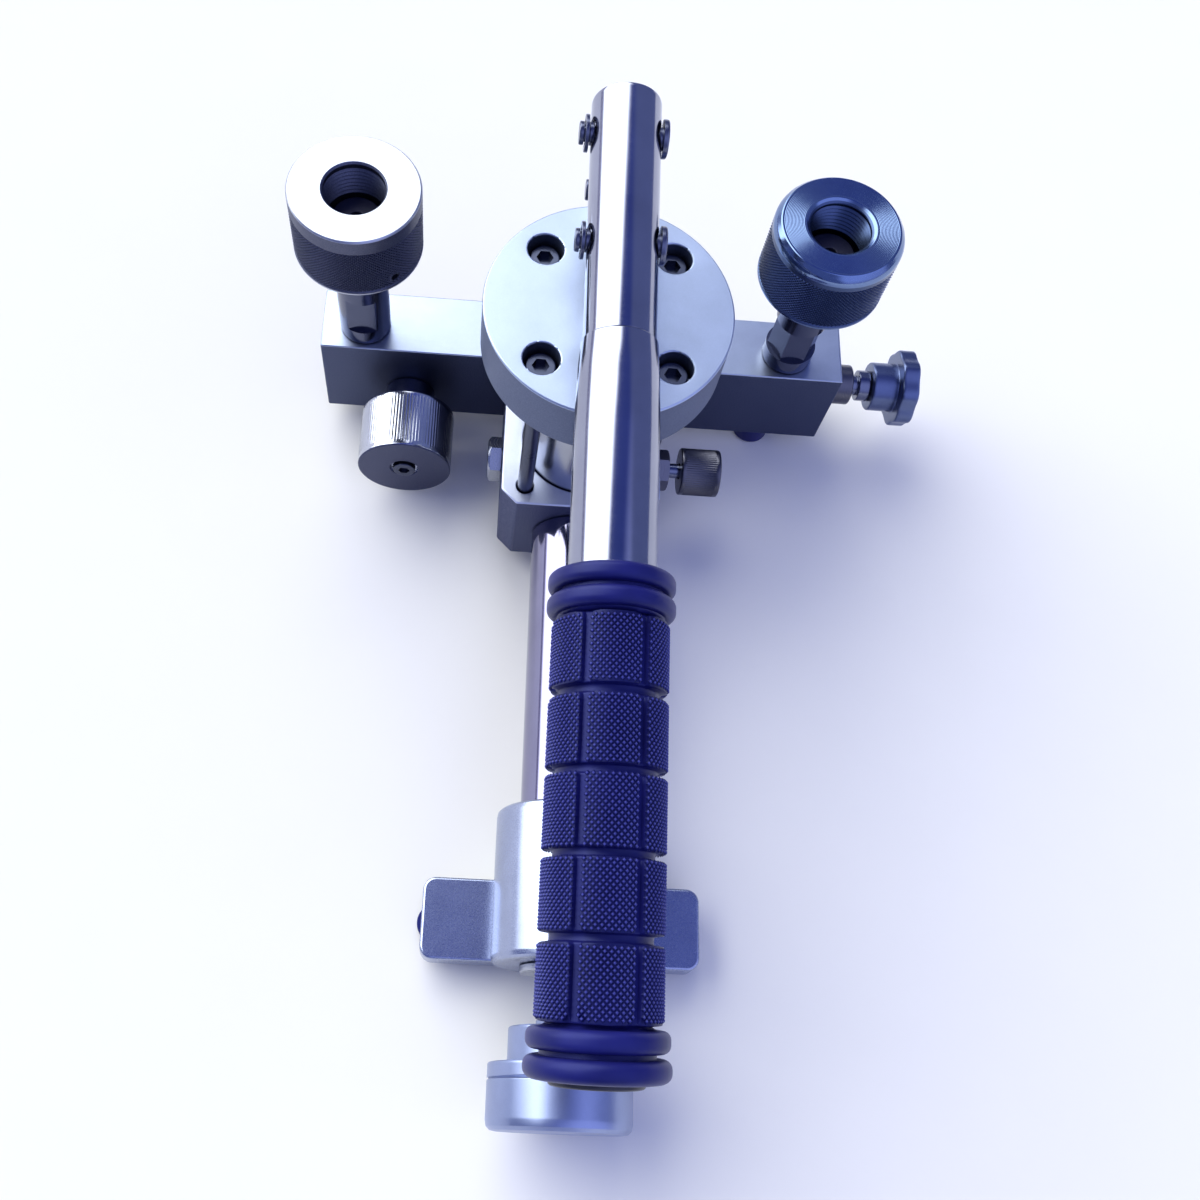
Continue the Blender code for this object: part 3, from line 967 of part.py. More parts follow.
def make_handwheel(carrier):
    """The lead screw and the handwheel on it."""
    wheel_back = HUB_BACK + HUB_LENGTH
    wheel_front = wheel_back + WHEEL_LENGTH
    screw_end = wheel_front - WHEEL_FACE
    screw_low = FINE_PISTON_FRONT + GAP
    step = FINE_END - NUT_BUSH_DEPTH
    screw = [(0, screw_low), (SCREW_TIP_RADIUS, screw_low), (SCREW_TIP_RADIUS, step),
             (SCREW_RADIUS, step), (SCREW_RADIUS, screw_end), (0, screw_end)]
    turned("lead_screw", screw, STEEL, axis=FRONT, steps=SMALL_STEPS, parent=carrier)
    groove = wheel_back + WHEEL_GROOVE_PLACE
    round_front = [(WHEEL_RADIUS - WHEEL_ROUND + r, wheel_front - WHEEL_ROUND + h)
                   for r, h in arc(0, 0, WHEEL_ROUND, 0, math.pi / 2, CORNER_STEPS)]
    bore = SCREW_RADIUS + GAP
    profile = [(0, screw_end + GAP), (bore, screw_end + GAP), (bore, HUB_BACK - HUB_COLLAR),
               (HUB_COLLAR_RADIUS, HUB_BACK - HUB_COLLAR),
               (HUB_COLLAR_RADIUS, HUB_BACK), (HUB_RADIUS - EDGE, HUB_BACK),
               (HUB_RADIUS, HUB_BACK + EDGE), (HUB_RADIUS, wheel_back),
               (WHEEL_RADIUS - EDGE, wheel_back), (WHEEL_RADIUS, wheel_back + EDGE),
               (WHEEL_RADIUS, groove), (WHEEL_RADIUS - WHEEL_GROOVE, groove + WHEEL_GROOVE / 2),
               (WHEEL_RADIUS, groove + WHEEL_GROOVE)]
    profile += round_front + [(0, wheel_front)]
    turned("handwheel", profile, ALUMINIUM, axis=FRONT, steps=BIG_STEPS, parent=carrier)


def empty(name, at, turn=0.0):
    """A parent on a joint's axis, turned about X."""
    made = bpy.data.objects.new(name, None)
    bpy.context.scene.collection.objects.link(made)
    made.location = Vector(at) + BARREL_PLACE
    made.rotation_euler = (turn, 0, 0)
    return made


piston_slide = empty("piston_slide", LEVER_AXIS)
lever_hinge = empty("lever_hinge", LEVER_AXIS, LEVER_TILT)
link_hinge = empty("link_hinge", LINK_BASE, LINK_LEAN)
fine_slide = empty("fine_slide", (0, 0, FINE_HEIGHT))
wheel_hinge = empty("wheel_hinge", (0, 0, FINE_HEIGHT))

make_base_block()
make_crossbar()
make_base_fasteners()
make_barrel()
make_piston(piston_slide)
make_lever(lever_hinge)
make_grip(lever_hinge)
make_link(link_hinge)
make_link_bracket()
make_port("left", -PORT_LEFT, False)
make_port("right", PORT_RIGHT, True)
make_left_valve()
make_right_valve()
make_bleed_valve()
make_fine_cylinder(fine_slide)
make_bracket()
make_handwheel(wheel_hinge)
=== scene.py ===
# %% [markdown]
# # A hand pressure pump for the test bench
# The pump squeezes oil or water until two gauges, screwed into the round nuts, show the
# same pressure. A long lever works the pump, and a handwheel makes the last fine change.
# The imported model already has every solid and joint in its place, so this script only
# replaces the solids that show with pieces as smooth and worn as the real ones.

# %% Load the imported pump
import json
import math
import bmesh
import bpy
import numpy as np
from mathutils import Matrix, Vector

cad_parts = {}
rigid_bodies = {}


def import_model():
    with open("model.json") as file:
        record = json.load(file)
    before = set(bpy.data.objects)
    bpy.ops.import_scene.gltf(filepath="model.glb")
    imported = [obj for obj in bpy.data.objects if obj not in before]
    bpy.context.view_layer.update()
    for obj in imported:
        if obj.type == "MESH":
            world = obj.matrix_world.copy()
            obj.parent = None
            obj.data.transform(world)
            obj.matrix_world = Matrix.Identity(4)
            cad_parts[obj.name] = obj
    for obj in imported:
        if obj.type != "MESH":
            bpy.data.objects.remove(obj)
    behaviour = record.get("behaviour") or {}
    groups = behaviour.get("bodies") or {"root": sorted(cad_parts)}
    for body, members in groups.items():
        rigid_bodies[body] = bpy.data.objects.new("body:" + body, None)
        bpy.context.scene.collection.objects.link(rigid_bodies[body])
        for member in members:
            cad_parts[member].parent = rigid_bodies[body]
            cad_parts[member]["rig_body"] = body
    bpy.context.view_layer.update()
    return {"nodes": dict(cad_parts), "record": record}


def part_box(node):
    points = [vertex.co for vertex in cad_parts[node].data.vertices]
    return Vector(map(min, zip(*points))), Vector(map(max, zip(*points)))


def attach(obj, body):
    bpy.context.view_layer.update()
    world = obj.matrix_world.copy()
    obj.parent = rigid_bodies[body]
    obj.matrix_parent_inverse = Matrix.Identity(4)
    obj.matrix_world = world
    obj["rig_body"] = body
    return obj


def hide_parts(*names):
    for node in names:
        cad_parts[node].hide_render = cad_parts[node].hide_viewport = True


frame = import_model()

NODES = frame["nodes"]
SLOTS = {row["node"]: row["material_slot"] for row in frame["record"]["subparts"]}

# %% [markdown]
# ## Places
# The drawing is in millimetres from the barrel's axis, with z up from the bench. A frame
# is a 4 x 4 matrix. Its own z axis is the axis that a piece is turned about, so the same
# few lines can turn an upright port and a handwheel that lies down.

# %% Frames in millimetres
MM = 0.001
barrel_low, barrel_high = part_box("barrel")
AXIS = (barrel_low + barrel_high) / 2 / MM

TURNS = {
    "up": Matrix.Identity(4),
    "down": Matrix.Rotation(math.pi, 4, "X"),
    "front": Matrix(((1, 0, 0), (0, 0, -1), (0, 1, 0))).to_4x4(),
    "back": Matrix(((-1, 0, 0), (0, 0, 1), (0, 1, 0))).to_4x4(),
    "right": Matrix(((0, 0, 1), (1, 0, 0), (0, 1, 0))).to_4x4(),
    "left": Matrix(((0, 0, -1), (-1, 0, 0), (0, 1, 0))).to_4x4(),
}


def spot(x, y, z, turn="up"):
    """A frame at a place, whose own z axis points up, down, front, back, right or left."""
    return Matrix.Translation((AXIS.x + x, AXIS.y + y, z)) @ TURNS[turn]


print("barrel axis at", round(AXIS.x, 2), round(AXIS.y, 2))

# %% [markdown]
# ## Node trees as sums
# A finish is mostly arithmetic on a position. Wiring that by hand hides the idea, so one
# small class wraps a socket and lets Python's operators add the Math nodes. The same
# class serves the materials, the sky and the Geometry Nodes trees.


# %% Arithmetic on sockets
class Wire:
    """An output socket that can be added, multiplied and compared like a number."""

    def __init__(self, graph, socket):
        self.graph, self.socket = graph, socket

    def math(self, operation, *values):
        return self.graph.node("ShaderNodeMath", {"operation": operation},
                               dict(enumerate(values)))

    def also(self, name):
        return Wire(self.graph, self.socket.node.outputs[name])

    def __add__(self, other): return self.math("ADD", self, other)
    def __radd__(self, other): return self.math("ADD", other, self)
    def __sub__(self, other): return self.math("SUBTRACT", self, other)
    def __rsub__(self, other): return self.math("SUBTRACT", other, self)
    def __mul__(self, other): return self.math("MULTIPLY", self, other)
    def __rmul__(self, other): return self.math("MULTIPLY", other, self)
    def __truediv__(self, other): return self.math("DIVIDE", self, other)
    def __rtruediv__(self, other): return self.math("DIVIDE", other, self)
    def __pow__(self, other): return self.math("POWER", self, other)
    def __mod__(self, other): return self.math("FLOORED_MODULO", self, other)
    def __gt__(self, other): return self.math("GREATER_THAN", self, other)
    def __lt__(self, other): return self.math("LESS_THAN", self, other)
    def __abs__(self): return self.math("ABSOLUTE", self)


class Graph:
    """A node tree with one way to add a node: its type, its settings, then its sockets."""

    def __init__(self, tree):
        self.tree = tree

    def node(self, kind, settings=None, inputs=None, out=0):
        made = self.tree.nodes.new(kind)
        for key, value in (settings or {}).items():
            if key == "stops":
                ramp = made.color_ramp
                while len(ramp.elements) < len(value):
                    ramp.elements.new(0.5)
                for stop, (place, colour) in zip(ramp.elements, value):
                    stop.position, stop.color = place, (*colour, 1)
            else:
                setattr(made, key, value)
        for key, value in (inputs or {}).items():
            if isinstance(value, Wire):
                self.tree.links.new(value.socket, made.inputs[key])
            else:
                made.inputs[key].default_value = value
        return Wire(self, made.outputs[out]) if made.outputs else made

    def xyz(self, vector):
        first = self.node("ShaderNodeSeparateXYZ", None, {0: vector})
        return first, first.also("Y"), first.also("Z")

    def blend(self, factor, first, second):
        return self.node("ShaderNodeMix", {"data_type": "RGBA"},
                         {0: factor, 6: first, 7: second}, 2)

    def noise(self, place, scale, detail=2, rough=0.5):
        return self.node("ShaderNodeTexNoise", None,
                         {"Vector": place, "Scale": scale, "Detail": detail, "Roughness": rough})


# %% [markdown]
# ## Metals
# Turned metal carries fine rings left by the tool. They run round the piece's axis, so
# on an end face they depend on the radius and on a side on the height. One-dimensional
# noise on their sum gives both. Milled faces get streaks, and blasted or cast ones get an
# even grain. Slow patches in colour and gloss stand for handling.


# %% Begin and end a finish
def open_finish(name, at):
    """A material, its graph, its shader and the place on a piece, in the piece's frame."""
    material = bpy.data.materials.new(name)
    material.use_nodes = True
    paint = Graph(material.node_tree)
    place = paint.node("ShaderNodeMapping", {"vector_type": "TEXTURE"}, {
        "Vector": paint.node("ShaderNodeTexCoord", out=3), "Location": at.translation * MM,
        "Rotation": at.to_euler(), "Scale": (MM, MM, MM)})
    return material, paint, material.node_tree.nodes["Principled BSDF"], place


def close_finish(material, paint, shader, tone, gloss, depth, height):
    """Wire the colour, the gloss and the small bumps to the shader."""
    bump = paint.node("ShaderNodeBump", None,
                      {"Strength": 1.0, "Distance": depth * MM, "Height": height})
    for label, wire in (("Base Color", tone), ("Roughness", gloss), ("Normal", bump)):
        material.node_tree.links.new(wire.socket, shader.inputs[label])
    return material


# %% A metal finish
def metal(name, colour, rough, at, marks="turned", depth=0.003, pitch=0.35, patch=0.10, shade_and_dirt=None):
    """Metal with tool marks in the piece's own frame; lengths are in millimetres.

    The darkened band is given as (low, high, how dark, bore radius): between two heights, and
    inside the bore, the colour turns darker and the surface rougher. The dark colour is painted
    shade on the sides under a top face and in bores; in a knurl's valleys it is partly dirt and
    partly painted shade."""
    material, paint, shader, place = open_finish(name, at)
    shader.inputs["Metallic"].default_value = 1.0
    x, y, z = paint.xyz(place)
    if marks == "turned":
        run = (x * x + y * y) ** 0.5 + z
        fine = paint.node("ShaderNodeTexNoise", {"noise_dimensions": "1D"},
                          {"W": run, "Scale": 1 / pitch, "Detail": 3, "Roughness": 0.7})
    elif marks == "milled":
        squeezed = paint.node("ShaderNodeCombineXYZ", None, {0: x * 0.06, 1: y, 2: z})
        fine = paint.noise(squeezed, 1 / pitch, 3, 0.65)
    else:
        fine = paint.noise(place, 1 / pitch, 3, 0.75)
    patches = paint.noise(place, 0.06, 4, 0.6)
    grain = paint.noise(place, 2.6, 2, 0.7)
    shade = patches * 0.75 + grain * 0.25
    dark = tuple(c * 0.86 for c in colour) + (1,)
    light = tuple(min(1.0, c * 1.08) for c in colour) + (1,)
    tone = paint.blend(shade * 2.4 - 0.7, dark, light)
    gloss = rough + (patches - 0.5) * patch + (fine - 0.5) * 0.12
    # Painted shade: darken a band between two heights and the bore, and make them rougher.
    if shade_and_dirt:
        low, high, much, bore = (*shade_and_dirt, 0.0)[:4]
        inside = (x * x + y * y) ** 0.5 < bore
        band = inside.math("MAXIMUM", inside, (z > low) * (z < high)) * (grain * 0.4 + 0.8)
        shade_colour = (colour[0] * 0.10, colour[1] * 0.11, colour[2] * 0.19, 1)
        tone = paint.blend(band * much, tone, shade_colour)
        gloss = gloss + band * 0.14
    return close_finish(material, paint, shader, tone, gloss, depth, fine)


ALUMINIUM = (0.42, 0.44, 0.51)
STEEL = (0.39, 0.41, 0.48)
DARK_STEEL = (0.15, 0.165, 0.24)
print("metals: aluminium", ALUMINIUM, "steel", STEEL)


# %% [markdown]
# Rubber, plastic and seals aren't metal. Moulded rubber has a soft, slightly uneven
# sheen, which is roughness that wanders and a skin of very small bumps. The tips of the
# grip's studs get a painted highlight and a little less roughness, and the valleys between them
# painted shade.


# %% A moulded finish
GRIP_LOW, GRIP_HIGH = 91, 206


def swell(u):
    """The grip widens towards the hand: its scale at a length along the lever."""
    return 0.975 + 0.04 * (u - GRIP_LOW) / (GRIP_HIGH - GRIP_LOW)


def moulded(name, colour, rough, depth=0.01, pitch=0.5, shine=0.5, tint=(1, 1, 1),
            at=Matrix.Identity(4), painted_stud_light=None):
    """Rubber or plastic with a fine skin; lengths are in millimetres.

    The stud argument is (low, high, pad radius, highlight colour): between two heights, a painted
    highlight on the studs' tips and painted shade in the valleys between them."""
    material, paint, shader, place = open_finish(name, at)
    shader.inputs["Specular IOR Level"].default_value = shine
    shader.inputs["Specular Tint"].default_value = (*tint, 1)
    skin = paint.noise(place, 1 / pitch, 3, 0.7)
    patches = paint.noise(place, 0.08, 3, 0.55)
    dark = tuple(c * 0.7 for c in colour) + (1,)
    light = tuple(c * 1.35 for c in colour) + (1,)
    tone = paint.blend(patches * 2 - 0.5, dark, light)
    gloss = rough + (patches - 0.5) * 0.2 + (skin - 0.5) * 0.1
    # Painted highlight on the stud tips and painted shade in the valleys between them.
    if painted_stud_light:
        low, high, pad, pale = painted_stud_light
        x, y, z = paint.xyz(place)
        over = (x * x + y * y) ** 0.5 / swell(z) - pad
        studded = (z > low) * (z < high)
        valley_shade = studded * over.math("MINIMUM", (over + 0.3) * 5, 1.0) * 0.55
        tip_highlight = studded * over.math("MINIMUM", (over - 0.12) * 4.5, 1.0)
        tone = paint.blend(tip_highlight, paint.blend(valley_shade, tone, (0, 0, 0.02, 1)), (*pale, 1))
        gloss = gloss - tip_highlight.math("MAXIMUM", tip_highlight, 0.0) * 0.1
    return close_finish(material, paint, shader, tone, gloss, depth, skin)


RUBBER = moulded("moulded_rubber", (0.009, 0.010, 0.100), 0.42, shine=0.42, tint=(0.42, 0.48, 1))
SEAL = moulded("seal_rubber", (0.012, 0.013, 0.036), 0.45, 0.004)
PLASTIC = moulded("black_plastic", (0.018, 0.018, 0.030), 0.38, 0.004, 0.3)
CORE = spot(0, 0, 0)
INSIDE = {
    "satin_aluminium": metal("inner_aluminium", ALUMINIUM, 0.36, CORE, "blasted", 0.004, 0.3),
    "polished_stainless": metal("inner_steel", STEEL, 0.2, CORE),
    "dark_steel": metal("inner_dark_steel", (0.10, 0.10, 0.12), 0.36, CORE),
    "brass": metal("inner_brass", (0.72, 0.55, 0.25), 0.26, CORE),
    "black_rubber": RUBBER, "black_seal": SEAL, "black_plastic": PLASTIC,
}
print("finishes for hidden solids:", sorted(INSIDE))

# %% [markdown]
# ## Turned pieces
# Most of a pump is made on a lathe, and so are these meshes: a profile of radius and
# height is carried round its axis. A real edge is never sharp, so each corner gets a
# small curve, with a narrow guard strip beside it that keeps the flats flat when shaded.
# A wave function may change the radius with the angle, which makes flats and knurls.


# %% Turn a profile
def soften(profile, edge, loop, steps=3):
    """Round a profile's corners; a third number on a point is its own rounding."""
    points = [Vector(point[:2]) for point in profile]
    result = []
    for i, here in enumerate(points):
        size = profile[i][2] if len(profile[i]) > 2 else edge
        if size == 0 or here.x < 1e-6 or (not loop and i in (0, len(points) - 1)):
            result.append(here)
            continue
        back, ahead = points[i - 1] - here, points[(i + 1) % len(points)] - here
        cut = min(size, 0.4 * back.length, 0.4 * ahead.length)
        back.normalize()
        ahead.normalize()
        start, end = here + back * cut, here + ahead * cut
        result.append(start + back * cut * 0.2)
        for step in range(steps + 1):
            t = step / steps
            result.append((1 - t) ** 2 * start + 2 * t * (1 - t) * here + t * t * end)
        result.append(end + ahead * cut * 0.2)
    return result


def shade(mesh, sharp):
    """Shade smooth, with a crease at every edge sharper than an angle in degrees."""
    mesh.shade_smooth()
    mesh.set_sharp_from_angle(angle=math.radians(sharp))


def make(name, points, faces, at, sharp=32):
    """One closed mesh from millimetre points in a frame, smooth except at its edges."""
    mesh = bpy.data.meshes.new(name)
    mesh.from_pydata([tuple(point) for point in points], [], faces)
    mesh.transform(Matrix.Scale(MM, 4) @ at)
    bm = bmesh.new()
    bm.from_mesh(mesh)
    bmesh.ops.remove_doubles(bm, verts=bm.verts, dist=1e-7)
    bmesh.ops.recalc_face_normals(bm, faces=bm.faces)
    bm.to_mesh(mesh)
    bm.free()
    shade(mesh, sharp)
    piece = bpy.data.objects.new(name, mesh)
    bpy.context.scene.collection.objects.link(piece)
    return piece


def lathe(name, profile, at, edge=0.35, steps=96, wave=None, sharp=32):
    """Carry (radius, height) points round the frame's z axis; off the axis they close."""
    loop = profile[0][0] > 0
    angles = np.arange(steps) * math.tau / steps
    cos, sin = np.cos(angles), np.sin(angles)
    points, rings, faces = [], [], []
    for radius, height in soften(profile, edge, loop):
        if radius < 1e-6:
            rings.append([len(points)] * steps)
            points.append((0, 0, height))
            continue
        reach = wave(angles, height, radius) if wave else np.full(steps, radius)
        rings.append(list(range(len(points), len(points) + steps)))
        points.extend(zip(reach * cos, reach * sin, [height] * steps))
    for low, high in zip(rings, rings[1:] + (rings[:1] if loop else [])):
        for i in range(steps):
            j = (i + 1) % steps
            face = []
            for corner in (low[i], low[j], high[j], high[i]):
                if corner not in face:
                    face.append(corner)
            if len(face) > 2:
                faces.append(face)
    return make(name, points, faces, at, sharp)


# %% Flats and ribs
def across(flats, width, low=-1e9, high=1e9, turn=0.0):
    """A wave that cuts flats across a round piece between two heights."""
    step = math.tau / flats

    def wave(angle, height, radius):
        off = (angle - turn + step / 2) % step - step / 2
        inside = low <= height <= high
        return np.minimum(radius, width / 2 / np.maximum(np.cos(off), 1e-3)) if inside \
            else np.full(len(angle), radius)
    return wave


def ribs(count, depth, low, high, inner=0.0):
    """A wave of fine straight ribs along a round side."""
    def wave(angle, height, radius):
        if not low <= height <= high or radius < inner:
            return np.full(len(angle), radius)
        return radius - depth * (0.5 - 0.5 * np.cos(count * angle))
    return wave


print("lathe, flats and ribs ready")

# %% [markdown]
# ## Milled pieces
# A block is an outline raised to a height. Its holes are cut with one Boolean for all its
# drills, then a Bevel breaks every edge, inside and out, as a file would, and Weighted
# Normal keeps the large faces flat. The result is baked, so that no modifier is left.


# %% Raise an outline, drill it and break its edges
def arc(x, y, radius, start, end, count):
    """Points of an outline on part of a circle."""
    return [(x + radius * math.cos(turn), y + radius * math.sin(turn))
            for turn in np.linspace(start, end, count)]


def slab(name, outline, low, high, at):
    """An outline in the frame's x and y, raised from low to high along its z."""
    count = len(outline)
    points = [(x, y, z) for z in (low, high) for x, y in outline]
    faces = [list(range(count))[::-1], list(range(count, 2 * count))]
    faces += [[i, (i + 1) % count, (i + 1) % count + count, i + count] for i in range(count)]
    return make(name, points, faces, at)


def box_cut(low, high, at=CORE):
    """A box-shaped cutter between two corners."""
    outline = [(low[0], low[1]), (high[0], low[1]), (high[0], high[1]), (low[0], high[1])]
    return slab("cutter", outline, low[2], high[2], at)


def hole(radius, at, depth, steps=48):
    """A drill that goes in against the frame's z axis, from the surface at its origin."""
    return lathe("cutter", [(0, -depth), (radius, -depth), (radius, 2), (0, 2)], at, 0, steps)


def bake(piece):
    """Turn the piece and its modifiers into one plain mesh."""
    view = bpy.context.evaluated_depsgraph_get()
    mesh = bpy.data.meshes.new_from_object(piece.evaluated_get(view))
    piece.modifiers.clear()
    piece.data = mesh
    return piece


def carve(piece, cutters=(), edge=0.4, joined=(), segments=2, limit=38):
    """Join and cut with other meshes, then break the edges and bake."""
    for tool in joined:
        made = piece.modifiers.new("with", "BOOLEAN")
        made.operation, made.object, made.solver = "UNION", tool, "EXACT"
    if cutters:
        group = bpy.data.collections.new("cutters")
        for tool in cutters:
            group.objects.link(tool)
        made = piece.modifiers.new("cut", "BOOLEAN")
        made.operation, made.operand_type, made.solver = "DIFFERENCE", "COLLECTION", "EXACT"
        made.collection = group
    if edge:
        made = piece.modifiers.new("edge", "BEVEL")
        made.width, made.segments, made.limit_method = edge * MM, segments, "ANGLE"
        made.angle_limit = math.radians(limit)
        made.use_clamp_overlap = False
        made = piece.modifiers.new("flat", "WEIGHTED_NORMAL")
        made.keep_sharp = True
    bake(piece)
    for tool in (*cutters, *joined):
        bpy.data.objects.remove(tool)
    if cutters:
        bpy.data.collections.remove(group)
    return piece


# %% Dress a solid
DRESSED = []


def dress(piece, node, look):
    """Let a piece stand for its solid: its finish, its body, and how far their boxes differ."""
    piece.name = piece.data.name = "show_" + node
    piece.data.materials.clear()
    piece.data.materials.append(look)
    corners = np.array([vertex.co for vertex in piece.data.vertices])
    low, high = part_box(node)
    off = max(np.abs(corners.min(0) - low).max(), np.abs(corners.max(0) - high).max()) / MM
    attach(piece, NODES[node]["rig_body"])
    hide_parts(node)
    DRESSED.append(node)
    print(f"{node}: {len(piece.data.polygons)} faces, {off:.2f} mm from the solid's box")
    return piece


def turned(node, profile, at, look, edge=0.2, steps=96, wave=None, sharp=32):
    """Turn a piece and let it stand for its solid."""
    return dress(lathe(node, profile, at, edge, steps, wave, sharp), node, look)


# %% [markdown]
# ## The block and the crossbar
# Both are sawn from aluminium bar and milled. The block carries the barrel and the fine
# cylinder, and the crossbar carries the two gauge ports. The fine streaks run along the
# bar, the way the cutter went.

# %% Block and crossbar
BAR_TOP, TIE_CIRCLE = 44, 26
PORTS = {"left": -75, "right": 70}
BAR_FEET = {"left": -67, "right": 67}
BAR_SCREWS = {"left": -18, "right": 18}
LEFT_VALVE, RIGHT_VALVE = spot(-59.5, 30, 20, "front"), spot(89.5, 41.5, 26, "right")
BLEED_VALVE, CHECK_PLUG = spot(26, 0, 28, "right"), spot(-26, 0, 28, "left")
TIES = [(TIE_CIRCLE * math.cos(turn), TIE_CIRCLE * math.sin(turn))
        for turn in (math.pi / 4 + math.pi / 2 * step for step in range(4))]

outline = [(-26, -20), (-21, -25), (21, -25), (26, -20), (26, 29.7), (-26, 29.7)]
top, front = spot(0, 0, BAR_TOP), spot(0, -25, 24, "front")
drills = [hole(19.8, top, 3.3, 96), hole(6, top, 22.4), hole(11.3, front, 12.3),
          hole(2, front, 60, 24), hole(4.3, BLEED_VALVE, 9), hole(4.3, CHECK_PLUG, 11.5),
          hole(2, BLEED_VALVE, 60, 24)]
drills += [hole(2.8, spot(x, y, BAR_TOP), 12.3, 32) for x, y in TIES]
drills += [hole(3.3, spot(x, 30, 20, "back"), 12.3, 32) for x in BAR_SCREWS.values()]
block = carve(slab("block", outline, 8, BAR_TOP, CORE), drills, 0.5)
# Painted shade: everything below the block's top face, sides and hole walls alike, is darkened, so
# only the top keeps the pale colour.
look = metal("milled_block", (0.66, 0.70, 0.84), 0.42, CORE, "milled", 0.004, 0.5,
             shade_and_dirt=(-1, 43.6, 0.95))
dress(block, "base_block", look)

drills = []
for x in PORTS.values():
    drills += [hole(6.3, spot(x, 40, BAR_TOP), 12.3), hole(2, spot(x, 40, BAR_TOP), 20.4, 24)]
for x in BAR_FEET.values():
    drills += [hole(3.3, spot(x, 37, 8, "down"), 4.3, 32)]
for x in BAR_SCREWS.values():
    back = spot(x, 53, 20, "back")
    drills += [hole(5.3, back, 6.3), hole(3.3, back, 30, 32)]
drills += [hole(5.3, LEFT_VALVE, 14), hole(5.3, RIGHT_VALVE, 14),
           hole(2, RIGHT_VALVE, 166.9, 24), hole(2, spot(0, 30, 26, "front"), 13.9, 24)]
bar = slab("bar", [(-89.5, 30), (89.5, 30), (89.5, 53), (-89.5, 53)], 8, BAR_TOP, CORE)
# Painted shade: everything below the bar's top face is darkened, so only the top keeps the light
# colour.
look = metal("milled_bar", (0.37, 0.42, 0.55), 0.34, CORE, "milled", 0.004, 0.5,
             shade_and_dirt=(-1, 43.6, 0.9))
dress(carve(bar, drills, 0.5), "crossbar", look)

# %% [markdown]
# The bar stands on two black rubber feet, and two socket screws in its back hold it to
# the block. A socket screw is one profile with a ribbed head and a hexagon cut in it.

# %% Feet and socket screws
foot = [(0, 0), (6.5, 0, 1), (6.5, 7.7), (3, 7.7), (3, 12), (0, 12)]
for word, x in BAR_FEET.items():
    turned("crossbar_foot_" + word, foot, spot(x, 37, 0), RUBBER, 0.3, 64)


def cap_screw(node, shank, head, tall, length, at):
    """A socket-head screw whose head stands on the frame's origin."""
    profile = [(0, -length), (shank, -length, 0.4), (shank, 0, 0), (head, 0, 0.2),
               (head, 0.6, 0), (head, tall - 0.9, 0), (head, tall, 0.5), (0, tall)]
    wave = ribs(30, 0.16, 0.6, tall - 0.9, shank + 0.2)
    screw = lathe("screw", profile, at, 0.2, 120, wave, 50)
    turn = at @ Matrix.Translation((0, 0, tall))
    socket = lathe("cutter", [(0, -tall / 2), (shank, -tall / 2), (shank, 2), (0, 2)], turn, 0, 6)
    carve(screw, [socket], 0)
    shade(screw.data, 40)
    dress(screw, node, metal("dark_" + node, (0.075, 0.085, 0.13), 0.30, at, "turned", 0.002))


for word, x in BAR_SCREWS.items():
    cap_screw("crossbar_screw_" + word, 3, 5, 6, 29, spot(x, 47, 20, "back"))
for step, (x, y) in enumerate(TIES):
    cap_screw(f"tie_screw_{step + 1}", 2.5, 4.25, 5, 75.3, spot(x, y, 107.3))

# %% [markdown]
# ## Barrel and flange
# The barrel is a polished tube under a thick flange. Four long screws pull the flange
# down on it. The flange is turned, then drilled and counterbored, so its top has rings
# too fine to see one by one. They only stretch the light.

# %% Barrel, flange and bush
turned("barrel", [(12, 41), (19.5, 41), (19.5, 100.7), (12, 100.7)], CORE,
       metal("polished_barrel", STEEL, 0.2, CORE, "turned", 0.002), 0.3, 128)
FLANGE_TOP, FLANGE_RADIUS = 116, 35.5
profile = [(19.8, 98), (FLANGE_RADIUS, 98), (FLANGE_RADIUS, FLANGE_TOP), (6.3, FLANGE_TOP),
           (6.3, 112), (13.3, 112), (13.3, 101), (19.8, 101)]
drills = [hole(2.3, spot(0, FLANGE_RADIUS, 102.4, "back"), 8.3, 32)]
for x, y in TIES:
    top = spot(x, y, FLANGE_TOP)
    drills += [hole(5.25, top, 9), hole(2.8, top, 20, 32)]
flange = carve(lathe("flange", profile, CORE, 0, 160), drills, 0.45)
# Painted shade: the flange's rim side and underside are darkened, so only its top keeps the light
# colour.
look = metal("turned_flange", (0.42, 0.49, 0.64), 0.39, CORE, "turned", 0.006, 0.4,
             shade_and_dirt=(90, 115.4, 0.76))
dress(flange, "flange_head", look)
turned("rod_bush", [(6.3, 101), (13, 101), (13, 109.4), (6.3, 109.4)], CORE,
       metal("turned_brass", (0.72, 0.55, 0.25), 0.24, CORE, "turned", 0.002), 0.3)

# %% The rod and its flattened eye
ROD_PIN = 143
rod = lathe("rod", [(0, 54.3), (6, 54.3), (6, 149), (0, 149)], CORE, 0, 64)
over = [(9, ROD_PIN), *arc(0, ROD_PIN, 5.85, 0, math.pi, 25), (-9, ROD_PIN), (-9, 151), (9, 151)]
over = slab("cutter", over, -9, 9, spot(0, 0, 0, "right"))
cuts = [over, box_cut((4, -9, 131), (9, 9, 151)), box_cut((-9, -9, 131), (-4, 9, 151)),
        hole(3.3, spot(8, 0, ROD_PIN, "right"), 20)]
look = metal("ground_rod", STEEL, 0.14, CORE, "turned", 0.001)
dress(carve(rod, cuts, 0.25), "piston_rod", look)

